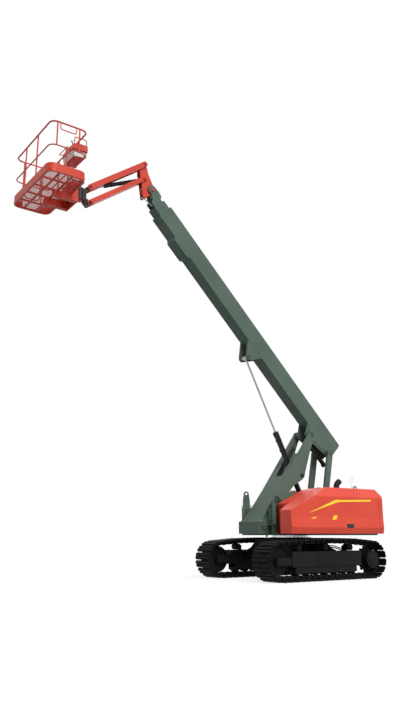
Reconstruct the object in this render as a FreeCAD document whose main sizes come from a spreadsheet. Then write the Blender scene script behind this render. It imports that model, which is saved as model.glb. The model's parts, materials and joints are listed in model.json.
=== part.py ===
import FreeCAD, Part
import Sketcher
import math
import os

# Tracked telescopic boom lift with a jib and a work platform.
# Millimetres. X is forward (the way the boom points), Y is left, Z is up, Z = 0 is the ground.
# The origin is under the centre of the whole machine; the slew axis stands at X = slew_x.

DOC = FreeCAD.newDocument("boom_lift")
SHEET = DOC.addObject("Spreadsheet::Sheet", "Sizes")

SIZES = {
    # where the slew axis stands
    "slew_x": -2322.7,
    # crawler tracks
    "track_gauge": 1950, "shoe_width": 540, "shoe_depth": 28, "shoe_step": 16, "shoe_count": 46,
    "chain_width": 190, "chain_depth": 72, "wheel_base": 2640, "end_radius": 395,
    "crown_mid": 850, "crown_side": 836, "carrier_pitch": 750, "carrier_radius": 65,
    "roller_radius": 65, "roller_count": 7, "roller_pitch": 270,
    "seat_gap": 0.3, "beam_half": 150, "beam_low": 280, "beam_top": 580, "beam_reach": 1020,
    "hub_radius": 185, "hub_reach": 205,
    # carbody and slew ring
    "body_radius": 460, "body_low": 420, "body_top": 850, "leg_width": 280, "leg_x": 470,
    "ring_radius": 400, "ring_height": 49.7,
    # turntable
    "deck_low": 900, "deck_thick": 35, "deck_half": 1100, "deck_front": 880,
    "cheek_in": 310, "cheek_thick": 25, "nose_front": 1185, "nose_top": 1180,
    "lug_x": 860, "lug_y": 463, "lug_hole_z": 1790, "lug_hole_radius": 25, "lug_half": 78,
    "lug_thick": 25,
    # hoods, covers and counterweight
    "hood_low": 930, "hood_top": 1900, "hood_front": 1040, "hood_rear": 1615, "hood_half": 1200,
    "hood_wall": 25, "hood_split": 605, "brow_z": 1400, "crease_z": 1700, "skirt_z": 1060,
    "waist_z": 1270, "far_front": 400, "far_brow": 1220, "corner_x": 460,
    "corner_y": 850, "cover_front": 700, "cover_in": 400, "cover_split": 600, "tail_x": 1860,
    "hinge_radius": 12,
    # front link, rear link
    "foot_x": 1050, "foot_z": 1120, "link_length": 2594, "plate_end": 1300, "link_angle": 127.8,
    "arm_in": 225, "arm_out": 285, "link_pin": 40, "foot_pin": 45, "bore_gap": 0.05,
    "trunnion_s": 1580, "trunnion_n": 283, "trunnion_pin": 35,
    "rear_u": -683, "rear_w": 101, "rear_length": 1612, "column_half": 78, "rear_angle": 281.3,
    "rear_pin": 35,
    # lift cylinder
    "eye_u": 2370, "eye_w": -82, "barrel_radius": 60, "barrel_up": 1080, "barrel_down": 910,
    "rod_radius": 22, "rod_length": 2628, "eye_radius": 50, "eye_half": 90,
    # boom sections: shared mid height, half height, half width, wall, ends
    "boom_angle": 44.7, "boom_mid": 375, "base_half_h": 197.5, "base_half_w": 150,
    "base_wall": 10, "base_rear": -845, "base_front": 6050, "mid_half_h": 160,
    "mid_half_w": 128, "mid_wall": 8, "mid_rear": -560, "mid_front": 6245, "fly_half_h": 126,
    "fly_half_w": 106, "fly_wall": 8, "fly_rear": -470, "fly_front": 6380, "collar": 120,
    "nose_u": 6580, "nose_w": 470, "nose_radius": 98, "nose_pin": 30,
    # jib
    "bracket_in": 44, "bracket_out": 66, "jib_pin": 28, "jib_x": 190, "jib_z": 210,
    "jib_rise": 340, "jib_length": 1570, "jib_angle": -36.7, "jib_in": 71, "jib_out": 100,
    "lower_depth": 100, "upper_depth": 116, "level_x": 165, "level_z": -205,
    "level_u": 5750, "level_w": 448, "jib_barrel_radius": 38, "jib_rod_radius": 19,
    "jib_barrel": 1000, "jib_rod": 980, "level_barrel": 440, "level_rod": 660,
    # rotator and platform
    "drum_x": 200, "drum_radius": 85, "drum_low": 20, "drum_top": 280,
    "plat_back": 270, "plat_depth": 780, "plat_half": 915, "floor_low": -40, "floor_tube": 40,
    "rail_top": 1000, "rail_mid": 512, "rail_radius": 16, "mid_radius": 13, "corner": 150,
    "toe_height": 130, "toe_thick": 6, "mesh_thick": 6, "gate_from": 200, "gate_to": 560,
}


class Names(dict):
    """Turns {word} in an expression into a reference to that cell of the sheet."""

    def __missing__(self, key):
        if key not in SIZES:
            raise KeyError(key)
        return "Sizes." + key


def ex(text):
    return str(text).format_map(Names())


def size(name):
    return float(SHEET.get(name))


for row, (alias, value) in enumerate(SIZES.items(), start=1):
    SHEET.set(f"A{row}", alias)
    SHEET.set(f"B{row}", str(value))
    SHEET.setAlias(f"B{row}", alias)
DOC.recompute()

SUBPARTS = []
Y_AXIS_DOWN = FreeCAD.Vector(0, -1, 0)


# ---------------------------------------------------------------- frames
# A frame is a point in the XZ plane and a tilt in degrees, as three expressions.

def plus(*terms):
    return " + ".join(f"({term})" for term in terms)


def at(frame, along, up):
    """X and Z of a point given in a frame."""
    x, z, tilt = frame
    if tilt == "0":
        return plus(x, along), plus(z, up)
    c, s = f"cos({tilt})", f"sin({tilt})"
    return (f"({x}) + ({along}) * {c} - ({up}) * {s}",
            f"({z}) + ({along}) * {s} + ({up}) * {c}")


def place(thing, x="0", y="0", z="0", tilt="0"):
    for axis, text in (("x", x), ("y", y), ("z", z)):
        if ex(text) != "0":
            thing.setExpression(f"Placement.Base.{axis}", ex(text))
    if tilt != "0":
        thing.Placement.Rotation = FreeCAD.Rotation(Y_AXIS_DOWN, 1)
        thing.setExpression("Placement.Rotation.Angle", ex(tilt))
    return thing


def subpart(thing, label, frame):
    """Names a sub-part and puts it in its frame."""
    thing.Label = label
    place(thing, frame[0], "0", frame[1], frame[2])
    SUBPARTS.append(thing)
    return thing


# ---------------------------------------------------------------- shapes
COUNT = {}


def fresh(stem):
    COUNT[stem] = COUNT.get(stem, 0) + 1
    return f"{stem}_{COUNT[stem]}"


def box(x0, x1, y0, y1, z0, z1, stem="block"):
    thing = DOC.addObject("Part::Box", fresh(stem))
    thing.setExpression("Length", ex(f"({x1}) - ({x0})"))
    thing.setExpression("Width", ex(f"({y1}) - ({y0})"))
    thing.setExpression("Height", ex(f"({z1}) - ({z0})"))
    return place(thing, x0, y0, z0)


def drum(axis, radius, start, end, a="0", b="0", stem="round"):
    """A cylinder along X, Y or Z; a and b are its other two coordinates in order."""
    thing = DOC.addObject("Part::Cylinder", fresh(stem))
    thing.setExpression("Radius", ex(radius))
    thing.setExpression("Height", ex(f"({end}) - ({start})"))
    if axis == "X":
        thing.Placement.Rotation = FreeCAD.Rotation(FreeCAD.Vector(0, 1, 0), 90)
        spot = (start, a, b)
    elif axis == "Y":
        thing.Placement.Rotation = FreeCAD.Rotation(FreeCAD.Vector(1, 0, 0), -90)
        spot = (a, start, b)
    else:
        spot = (a, b, start)
    return place(thing, *spot)


def bend(ring, tube, x, y, z, quarter, stem="bend"):
    """A quarter of a torus lying flat, turned by a number of quarter turns."""
    thing = DOC.addObject("Part::Torus", fresh(stem))
    thing.setExpression("Radius1", ex(ring))
    thing.setExpression("Radius2", ex(tube))
    thing.Angle3 = 90
    thing.Placement.Rotation = FreeCAD.Rotation(FreeCAD.Vector(0, 0, 1), 90 * quarter)
    return place(thing, x, y, z)


def upright_bend(ring, tube, x, y, z, quarter, stem="bend"):
    """A quarter of a torus standing in the XZ plane."""
    thing = DOC.addObject("Part::Torus", fresh(stem))
    thing.setExpression("Radius1", ex(ring))
    thing.setExpression("Radius2", ex(tube))
    thing.Angle3 = 90
    stand = FreeCAD.Rotation(FreeCAD.Vector(1, 0, 0), 90)
    turn = FreeCAD.Rotation(FreeCAD.Vector(0, 0, 1), 90 * quarter)
    thing.Placement.Rotation = stand.multiply(turn)
    return place(thing, x, y, z)


def prism(plane, points, start, end, stem="plate"):
    """A body whose outline is drawn on XZ, YZ or XY and padded from start to end."""
    body = DOC.addObject("PartDesign::Body", fresh(stem))
    sketch = body.newObject("Sketcher::SketchObject", fresh("outline"))
    origin = [f for f in body.Origin.OriginFeatures if f.Role == plane + "_Plane"][0]
    sketch.AttachmentSupport = [(origin, "")]
    sketch.MapMode = "FlatFace"
    count = len(points)
    rough = [FreeCAD.Vector(math.cos(2 * math.pi * i / count), math.sin(2 * math.pi * i / count), 0)
             for i in range(count)]
    for i in range(count):
        sketch.addGeometry(Part.LineSegment(rough[i], rough[(i + 1) % count]), False)
    for i in range(count):
        sketch.addConstraint(Sketcher.Constraint("Coincident", i, 2, (i + 1) % count, 1))
    for i, (right, up) in enumerate(points):
        for kind, text in (("DistanceX", right), ("DistanceY", up)):
            number = sketch.addConstraint(Sketcher.Constraint(kind, -1, 1, i, 1, 1.0))
            sketch.setExpression(f"Constraints[{number}]", ex(text))
    pad = body.newObject("PartDesign::Pad", fresh("pad"))
    pad.Profile = sketch
    pad.setExpression("Length", ex(f"({end}) - ({start})"))
    pad.Reversed = plane == "XZ"
    axis = {"XZ": "y", "YZ": "x", "XY": "z"}[plane]
    body.setExpression(f"Placement.Base.{axis}", ex(start))
    return body


def fuse(things, stem="joined"):
    thing = DOC.addObject("Part::MultiFuse", fresh(stem))
    thing.Shapes = things
    return thing


def cut(base, tool, stem="cut"):
    thing = DOC.addObject("Part::Cut", fresh(stem))
    thing.Base = base
    thing.Tool = tool
    return thing


def common(first, second, stem="shared"):
    thing = DOC.addObject("Part::Common", fresh(stem))
    thing.Base = first
    thing.Tool = second
    return thing


def bundle(things, stem="set"):
    thing = DOC.addObject("Part::Compound", fresh(stem))
    thing.Links = things
    return thing


def span(side, near, far):
    """The two Y limits of something that lies between two distances from the middle."""
    if side > 0:
        return near, far
    return f"-({far})", f"-({near})"


SIDES = (1, -1)
NAMES = {1: "left", -1: "right"}


def both(make):
    """Calls a maker for the left and the right side and gives all that it made."""
    return [make(side) for side in SIDES]


# ---------------------------------------------------------------- crawler tracks
def hull_points(circles, offset):
    """Tangent points round a loop of circles (x, z, r), grown by an offset, anticlockwise."""
    points = []
    for i, (x0, z0, r0) in enumerate(circles):
        x1, z1, r1 = circles[(i + 1) % len(circles)]
        away = math.hypot(x1 - x0, z1 - z0)
        dx, dz = (x1 - x0) / away, (z1 - z0) / away
        lean = (r0 - r1) / away
        flat = math.sqrt(1 - lean * lean)
        nx, nz = dx * lean + dz * flat, dz * lean - dx * flat
        points.append((i, x0 + (r0 + offset) * nx, z0 + (r0 + offset) * nz))
        points.append(((i + 1) % len(circles), x1 + (r1 + offset) * nx, z1 + (r1 + offset) * nz))
    return points


def loop_pieces(circles, offset):
    """The loop as pieces: ("line", a, b) and ("arc", centre, radius, from angle, sweep)."""
    points = hull_points(circles, offset)
    pieces = []
    for k in range(0, len(points), 2):
        start, finish = points[k], points[k + 1]
        following = points[(k + 2) % len(points)]
        pieces.append(("line", start[1:], finish[1:]))
        x, z, r = circles[finish[0]]
        a0 = math.atan2(finish[2] - z, finish[1] - x)
        a1 = math.atan2(following[2] - z, following[1] - x)
        pieces.append(("arc", (x, z), r + offset, a0, (a1 - a0) % (2 * math.pi)))
    return pieces


def loop_wire(circles, offset, y):
    edges = []
    for piece in loop_pieces(circles, offset):
        if piece[0] == "line":
            (x0, z0), (x1, z1) = piece[1:]
            edges.append(Part.LineSegment(FreeCAD.Vector(x0, y, z0),
                                          FreeCAD.Vector(x1, y, z1)).toShape())
        else:
            (x, z), r, a0, sweep = piece[1:]
            spots = [FreeCAD.Vector(x + r * math.cos(a), y, z + r * math.sin(a))
                     for a in (a0, a0 + sweep / 2, a0 + sweep)]
            edges.append(Part.Arc(*spots).toShape())
    return Part.Wire(edges)


def loop_spot(circles, offset, share):
    """The point and outward normal at a share of the way round the loop."""
    pieces = loop_pieces(circles, 0)
    lengths = [math.dist(p[1], p[2]) if p[0] == "line" else p[2] * p[4] for p in pieces]
    left = (share % 1.0) * sum(lengths)
    for piece, length in zip(pieces, lengths):
        if left > length:
            left -= length
            continue
        if piece[0] == "line":
            (x0, z0), (x1, z1) = piece[1:]
            t = left / length
            nx, nz = (z1 - z0) / length, -(x1 - x0) / length
            return x0 + t * (x1 - x0) + offset * nx, z0 + t * (z1 - z0) + offset * nz
        (x, z), r, a0, sweep = piece[1:]
        angle = a0 + sweep * left / length
        return x + (r + offset) * math.cos(angle), z + (r + offset) * math.sin(angle)
    return loop_spot(circles, offset, 0)


def track_circles():
    """Rear sprocket, front idler and the three carrier rollers, as the outside of the shoes."""
    half, r = size("wheel_base") / 2, size("end_radius")
    band = size("shoe_depth") + size("shoe_step") + size("chain_depth")
    top = size("carrier_radius") + band
    pitch = size("carrier_pitch")
    side, mid = size("crown_side") - top, size("crown_mid") - top
    return [(-half, r, r), (half, r, r), (pitch, side, top), (0, mid, top), (-pitch, side, top)]


def track_shape():
    circles = track_circles()
    count = int(size("shoe_count"))
    step, depth = size("shoe_step"), size("shoe_depth")
    width, chain = size("shoe_width"), size("chain_width")
    corners = []
    for k in range(count):
        for offset, share in ((0, k / count), (-step, (k + 1) / count)):
            x, z = loop_spot(circles, offset, share)
            corners.append(FreeCAD.Vector(x, -width / 2, z))
    outer = Part.makePolygon(corners + corners[:1])
    inner = loop_wire(circles, -step - depth, -width / 2)
    shoes = Part.Face(outer).cut(Part.Face(inner)).extrude(FreeCAD.Vector(0, width, 0))
    lap = 4
    rim = Part.Face(loop_wire(circles, -step - depth + lap, -chain / 2))
    hollow = Part.Face(loop_wire(circles, -step - depth - size("chain_depth"), -chain / 2))
    links = rim.cut(hollow).extrude(FreeCAD.Vector(0, chain, 0))
    return shoes.fuse(links)


MACHINE = ("{slew_x}", "0", "0")
BAND = "{shoe_depth} + {shoe_step} + {chain_depth}"
GAUGE_HALF = "{track_gauge} / 2"
AXLE_Z = "{end_radius}"


def beside(side, text):
    """A Y on one track: text is measured outwards from the middle of that track."""
    return f"{side} * ({GAUGE_HALF}) + {side} * ({text})"


def track_span(side, near, far):
    first, second = beside(side, near), beside(side, far)
    return (first, second) if side > 0 else (second, first)


def make_track(side):
    loop = DOC.addObject("Part::Feature", fresh("loop"))
    loop.Shape = track_shape()
    loop.Label = NAMES[side] + "_track"
    loop.setExpression("Placement.Base.x", ex("{slew_x}"))
    loop.setExpression("Placement.Base.y", ex(f"{side} * ({GAUGE_HALF})"))
    SUBPARTS.append(loop)


def make_track_frame(side):
    parts = []
    y0, y1 = track_span(side, "-{beam_half}", "{beam_half}")
    parts.append(box("-{beam_reach}", "{beam_reach} - 40", y0, y1, "{beam_low}", "{beam_top}"))
    for near, far in (("-135", "-105"), ("105", "135")):
        y0, y1 = track_span(side, near, far)
        parts.append(box("{beam_reach} - 60", "{wheel_base} / 2 + 70", y0, y1,
                         f"{AXLE_Z} - 75", f"{AXLE_Z} + 75"))
        parts.append(box("-{roller_pitch} * ({roller_count} - 1) / 2 - 70",
                         "{roller_pitch} * ({roller_count} - 1) / 2 + 70",
                         *track_span(side, near, far), f"{BAND} + 40", "{beam_low} + 5"))
    y0, y1 = track_span(side, "-{beam_half}", "-{beam_half} + 45")
    parts.append(prism("XZ", [("-{beam_reach} + 20", "{beam_low}"),
                              ("-{beam_reach} + 20", "{beam_top}"),
                              ("-{wheel_base} / 2 - 20", f"{AXLE_Z} + 165"),
                              ("-{wheel_base} / 2 - 110", f"{AXLE_Z} + 60"),
                              ("-{wheel_base} / 2 - 110", f"{AXLE_Z} - 60"),
                              ("-{wheel_base} / 2 - 20", f"{AXLE_Z} - 150")], y0, y1))
    for k in (-1, 0, 1):
        crown = "{crown_mid}" if k == 0 else "{crown_side}"
        axis = f"{crown} - ({BAND}) - {{carrier_radius}} - {{seat_gap}}"
        y0, y1 = track_span(side, "-130", "-95")
        parts.append(box(f"{k} * {{carrier_pitch}} - 40", f"{k} * {{carrier_pitch}} + 40", y0, y1,
                         "{beam_top} - 5", f"{axis} + 30"))
    subpart(fuse(parts), NAMES[side] + "_track_frame", MACHINE)


def make_rollers(side):
    rollers = []
    for k in range(int(SIZES["roller_count"])):
        x = f"{{roller_pitch}} * ({k} - ({{roller_count}} - 1) / 2)"
        z = f"{BAND} + {{seat_gap}} + {{roller_radius}}"
        body = drum("Y", "{roller_radius}", *track_span(side, "-90", "90"), x, z)
        shaft = drum("Y", "22", *track_span(side, "-105 + {seat_gap}", "105 - {seat_gap}"), x, z)
        rollers.append(fuse([body, shaft]))
    for k in (-1, 0, 1):
        crown = "{crown_mid}" if k == 0 else "{crown_side}"
        z = f"{crown} - ({BAND}) - {{carrier_radius}} - {{seat_gap}}"
        x = f"{k} * {{carrier_pitch}}"
        body = drum("Y", "{carrier_radius}", *track_span(side, "-80", "105"), x, z)
        shaft = drum("Y", "22", *track_span(side, "-95 + {seat_gap}", "125"), x, z)
        rollers.append(fuse([body, shaft]))
    subpart(bundle(rollers), NAMES[side] + "_rollers", MACHINE)


def make_idler(side):
    x = "{wheel_base} / 2"
    rim = f"{AXLE_Z} - ({BAND}) - {{seat_gap}}"
    wheel = drum("Y", rim, *track_span(side, "-42", "42"), x, AXLE_Z)
    hub = drum("Y", "95", *track_span(side, "-80", "80"), x, AXLE_Z)
    axle = drum("Y", "38", *track_span(side, "-105 + {seat_gap}", "105 - {seat_gap}"), x, AXLE_Z)
    subpart(fuse([wheel, hub, axle]), NAMES[side] + "_idler", MACHINE)


def make_sprocket(side):
    """A toothed wheel with its final drive, whose round cover faces outwards."""
    x = "-{wheel_base} / 2"
    root = f"{AXLE_Z} - ({BAND}) - 45"
    parts = [drum("Y", root, *track_span(side, "-35", "35"), x, AXLE_Z),
             drum("Y", "{hub_radius}", *track_span(side, "-40", "{hub_reach}"), x, AXLE_Z),
             drum("Y", "{hub_radius} - 40", *track_span(side, "-105 + {seat_gap}", "0"), x, AXLE_Z)]
    teeth = 14
    for k in range(teeth):
        turn = 360 / teeth * k
        tooth = DOC.addObject("Part::Box", fresh("tooth"))
        tooth.setExpression("Length", ex("43.5 + 30"))
        tooth.Width = 40
        tooth.Height = 36
        tooth.Placement.Rotation = FreeCAD.Rotation(Y_AXIS_DOWN, turn)
        reach = f"({root} - 30)"
        tooth.setExpression("Placement.Base.x", ex(
            f"{x} + {reach} * cos({turn}) + 18 * sin({turn})"))
        tooth.setExpression("Placement.Base.y", ex(f"{side} * ({GAUGE_HALF}) - 20"))
        tooth.setExpression("Placement.Base.z", ex(
            f"{AXLE_Z} + {reach} * sin({turn}) - 18 * cos({turn})"))
        parts.append(tooth)
    subpart(fuse(parts), NAMES[side] + "_sprocket", MACHINE)


def make_carbody():
    parts = [drum("Z", "{body_radius}", "{body_low}", "{body_top}")]
    beam = "{track_gauge} / 2 - {beam_half}"
    for side in SIDES:
        outline = [("180", "{body_low} + 70"), (beam, "{beam_low} + 60"), (beam, "{beam_top} - 10"),
                   (f"{beam} - 190", "{beam_top} + 60"), (f"{beam} - 400", "{body_top} - 25"),
                   ("180", "{body_top} - 25")]
        points = [(f"{side} * ({y})", z) for y, z in outline]
        for end in (1, -1):
            start = f"{end} * {{leg_x}} - {{leg_width}} / 2"
            parts.append(prism("YZ", points, start, f"{start} + {{leg_width}}"))
    for end in (1, -1):
        x0, x1 = ("300", "{leg_x} + 180") if end > 0 else ("-{leg_x} - 180", "-300")
        parts.append(box(x0, x1, "-330", "330", "{body_low} + 70", "{body_top} - 25"))
        for side in SIDES:
            eye = f"{end} * ({{leg_x}} + 230)"
            y0, y1 = span(side, "240", "270")
            lug = fuse([box(*(("{leg_x} + 150", eye) if end > 0 else (eye, "-{leg_x} - 150")),
                            y0, y1, "600", "700"), drum("Y", "50", y0, y1, eye, "650")])
            parts.append(cut(lug, drum("Y", "28", f"{y0} - 1", f"{y1} + 1", eye, "650")))
    shell = fuse(parts)
    bore = drum("Z", "250", "{body_low} - 1", "{body_top} + 1")
    subpart(cut(shell, bore), "carbody", MACHINE)


def make_slew_ring():
    outer = drum("Z", "{ring_radius}", "{body_top}", "{body_top} + {ring_height}")
    bore = drum("Z", "{ring_radius} - 110", "{body_top} - 1", "{body_top} + {ring_height} + 1")
    subpart(cut(outer, bore), "slew_ring", MACHINE)


# ---------------------------------------------------------------- turntable
DECK_TOP = "{deck_low} + {deck_thick}"
CHEEK_OUT = "{cheek_in} + {cheek_thick}"
LINK = ("{slew_x} + {foot_x}", "{foot_z}", "{link_angle}")


def make_turntable():
    parts = both(make_front_lug) + [
             box("-{hood_rear} - 5 + {seat_gap}", "{far_front} - 25", "-{deck_half}",
                 "{deck_half}", "{deck_low}", DECK_TOP),
             box("{far_front} - 30", "{deck_front}", "-{hood_split} + 5", "{hood_split} - 5",
                 "{deck_low}", DECK_TOP),
             box("{deck_front} - 1", "{nose_front}", f"-({CHEEK_OUT})", CHEEK_OUT,
                 "{deck_low} + 30", f"{DECK_TOP} + 30"),
             prism("YZ", [(f"-({CHEEK_OUT}) + 30", "{deck_low} + 30"),
                          (f"{CHEEK_OUT} - 30", "{deck_low} + 30"),
                          (CHEEK_OUT, "{deck_low} + 60"), (CHEEK_OUT, "{nose_top} - 30"),
                          (f"{CHEEK_OUT} - 30", "{nose_top}"), (f"-({CHEEK_OUT}) + 30",
                          "{nose_top}"), (f"-({CHEEK_OUT})", "{nose_top} - 30"),
                          (f"-({CHEEK_OUT})", "{deck_low} + 60")],
                   "{nose_front} - 25", "{nose_front}")]
    outline = [("-1150", f"{DECK_TOP} - 5"), ("{nose_front}", f"{DECK_TOP} - 5"),
               ("{nose_front}", "{nose_top}"), ("{foot_x} - 110", "{nose_top} + 60"),
               ("640", "1700"), ("130", "1860"), ("-80", "1600"), ("-300", "1330"),
               ("-650", "1330"), ("-740", "1400"), ("-880", "1400"), ("-1150", "1180")]
    for side in SIDES:
        y0, y1 = span(side, "{cheek_in}", CHEEK_OUT)
        cheek = prism("XZ", outline, y0, y1)
        boss = drum("Y", "100", *span(side, "{arm_out} + 3", f"{CHEEK_OUT} + 18"),
                    "{foot_x}", "{foot_z}")
        rear = drum("Y", "70", *span(side, "{arm_out} + 6", f"{CHEEK_OUT} + 18"),
                    REAR_FOOT[0], REAR_FOOT[1])
        parts += [cheek, boss, rear]
        foot = box("{lug_x} - 90", "{lug_x} + 90", *span(side, f"{CHEEK_OUT} - 1", "{lug_y} + 60"),
                   "{lug_hole_z} - 690", "{lug_hole_z} - 665")
        web = box("{lug_x} - 40", "{lug_x} + 40", *span(side, f"{CHEEK_OUT} - 1", "{lug_y} - 40"),
                  "{lug_hole_z} - 670", "{lug_hole_z} - 330")
        stand = box("{lug_x} - 50", "{lug_x} + 50", *span(side, "{lug_y} - 45", "{lug_y} + 45"),
                    f"{DECK_TOP} - 5", "{lug_hole_z} - 665")
        parts += [foot, web, stand]
    parts.append(drum("Z", "20", "{body_top} + 16", "{deck_low} + 35", "{foot_x} - 80", "330"))
    deck = fuse(parts)
    bore = drum("Z", "180", "{deck_low} - 1", f"{DECK_TOP} + 1")
    pin = drum("Y", "{foot_pin} + {bore_gap}", "-500", "500", "{foot_x}", "{foot_z}")
    return cut(deck, fuse([bore, pin]))


LUG_SEAT = "-666"


def make_front_lug(side):
    """A lifting lug that stands across the corner, and the folded channel that holds it."""
    plate = fuse([box("-{lug_half}", "{lug_half}", "-{lug_thick} / 2", "{lug_thick} / 2",
                      LUG_SEAT, "-150"),
                  prism("XZ", [("-{lug_half}", "-151"), ("{lug_half}", "-151"), ("54", "15"),
                               ("-54", "15")], "-{lug_thick} / 2", "{lug_thick} / 2"),
                  drum("Y", "57", "-{lug_thick} / 2", "{lug_thick} / 2")])
    eye = drum("Y", "{lug_hole_radius}", "-{lug_thick}", "{lug_thick}")
    wall = 10
    channel = [box("-{lug_half} - 24", "{lug_half} + 24", "-{lug_thick} / 2 - 22",
                   f"-{{lug_thick}} / 2 - 22 + {wall}", LUG_SEAT, "-300")]
    for end in (1, -1):
        x0, x1 = ("{lug_half} + 14", "{lug_half} + 24") if end > 0 else (
            "-{lug_half} - 24", "-{lug_half} - 14")
        channel.append(box(x0, x1, "-{lug_thick} / 2 - 22", "{lug_thick} / 2 + 22",
                           LUG_SEAT, "-240"))
    bridge = box("-{lug_half} - 15", "{lug_half} + 15", "-{lug_thick} / 2 - 13",
                 "-{lug_thick} / 2 + 1", "-660", "-560")
    lug = cut(fuse([plate, bridge] + channel), eye)
    lug.Placement.Rotation = FreeCAD.Rotation(FreeCAD.Vector(0, 0, 1), 45 if side > 0 else 135)
    return place(lug, "{lug_x}", f"{side} * {{lug_y}}", "{lug_hole_z}")


def make_lifting_ring(side):
    """A ring of round bar on a small foot, on top of the counterweight."""
    ring = DOC.addObject("Part::Torus", fresh("ring"))
    ring.Radius1 = 46
    ring.Radius2 = 15
    ring.Placement.Rotation = FreeCAD.Rotation(FreeCAD.Vector(0, 1, 0), 90)
    place(ring, "-{hood_rear} - 30", f"{side} * 480", "{hood_top} + 52")
    foot = box("-{hood_rear} - 45", "-{hood_rear} - 10", f"{side} * 480 - 30",
               f"{side} * 480 + 30", "{hood_top} - 5", "{hood_top} + 12")
    return fuse([ring, foot])


BASE = at(LINK, "{link_length}", "0") + ("{boom_angle}",)
REAR_TOP = at(BASE, "{rear_u}", "{rear_w}")
REAR = REAR_TOP + ("{rear_angle}",)
_foot = at(REAR, "{rear_length}", "0")
REAR_FOOT = (f"{_foot[0]} - ({{slew_x}})", _foot[1])


FRONTS = {1: ("{hood_front}", "{brow_z}", "0"), -1: ("{far_front}", "{far_brow}", "-390")}


def side_outline(side, inset):
    """Hood and cover seen from the side: low front, brow, slope, flat top."""
    front, brow, crest = FRONTS[side]
    rear = f"-{{hood_rear}} - {2 if inset == '0' else 30}"
    return [(rear, f"{{hood_low}} - ({inset}) * 2"),
            (f"{front} - ({inset})", f"{{hood_low}} - ({inset}) * 2"),
            (f"{front} - ({inset})", f"{brow} - ({inset}) * 0.8"),
            (f"{crest} - ({inset}) * 0.2", f"{{hood_top}} - 40 - ({inset})"),
            (f"{crest} - 180", f"{{hood_top}} - ({inset})"),
            (rear, f"{{hood_top}} - ({inset})")]


def plan_outline(side, inset):
    """Hood seen from above; the near one has its inner front corner cut off."""
    front = FRONTS[side][0] + f" - ({inset})"
    inner = "{hood_split}" if inset == "0" else "{hood_split} - 50"
    turn = f"{{corner_x}} - ({inset}) * 3"
    step = [] if inset == "0" else [(turn, "{hood_split}")]
    corner = [(front, inner)] if side < 0 else [(turn, inner)] + step + [
        (front, f"{{corner_y}} + ({inset}) * 0.7")]
    points = [("-{hood_rear} - 20", inner)] + corner + [
        (front, "{hood_half} + 5"), ("-{hood_rear} - 20", "{hood_half} + 5")]
    return [(x, f"{side} * ({y})") for x, y in points]


def end_outline(side, near, inset):
    """Hood and counterweight seen from behind: side with a waist and a bevelled shoulder."""
    points = [(near, f"{{hood_low}} - ({inset}) * 2"),
              (f"{{hood_half}} - 45 - ({inset})", f"{{hood_low}} - ({inset}) * 2"),
              (f"{{hood_half}} - ({inset})", "{skirt_z}"),
              (f"{{hood_half}} - 25 - ({inset})", "{waist_z}"),
              (f"{{hood_half}} - 25 - ({inset})", f"{{crease_z}} - ({inset}) * 0.4"),
              (f"{{hood_half}} - 150 - ({inset}) * 0.7", f"{{hood_top}} - ({inset})"),
              (near, f"{{hood_top}} - ({inset})")]
    return [(f"{side} * ({y})", z) for y, z in points]


HINGE_Z = "{hood_top} + {hinge_radius}"
HINGE_Y = "({hood_split} + {cover_split}) / 2"
HINGES = {1: ("-1450", "-900", "-350"), -1: ("-1450", "-1050", "-660")}


def make_hood(side):
    """The outer shell of one side, open below, behind and inwards, with its hinge knuckles."""
    front, rear = "{hood_front} + 5", "-{hood_rear}"
    outside = common(common(
        prism("XZ", side_outline(side, "0"), *span(side, "{hood_split}", "{hood_half} + 5")),
        prism("YZ", end_outline(side, "{hood_split}", "0"), rear, front)),
        prism("XY", plan_outline(side, "0"), "{hood_low} - 60", "{hood_top} + 5"))
    inner = common(common(
        prism("XZ", side_outline(side, "{hood_wall}"),
              *span(side, "{hood_split} - 50", "{hood_half} + 5")),
        prism("YZ", end_outline(side, "{hood_split} - 50", "{hood_wall}"),
              f"{rear} - 20", front)),
        prism("XY", plan_outline(side, "{hood_wall}"), "{hood_low} - 60", "{hood_top} + 5"))
    shell = cut(outside, inner)
    knuckles = [drum("X", "{hinge_radius}", x, f"{x} + 60", f"{side} * ({HINGE_Y})", HINGE_Z)
                for x in HINGES[side]]
    leaves = [box(x, f"{x} + 60", *span(side, f"{HINGE_Y} + 3", f"{HINGE_Y} + 45"),
                  "{hood_top} - 1", "{hood_top} + 6") for x in HINGES[side]]
    subpart(fuse([shell] + knuckles + leaves), NAMES[side] + "_hood", MACHINE)


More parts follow.
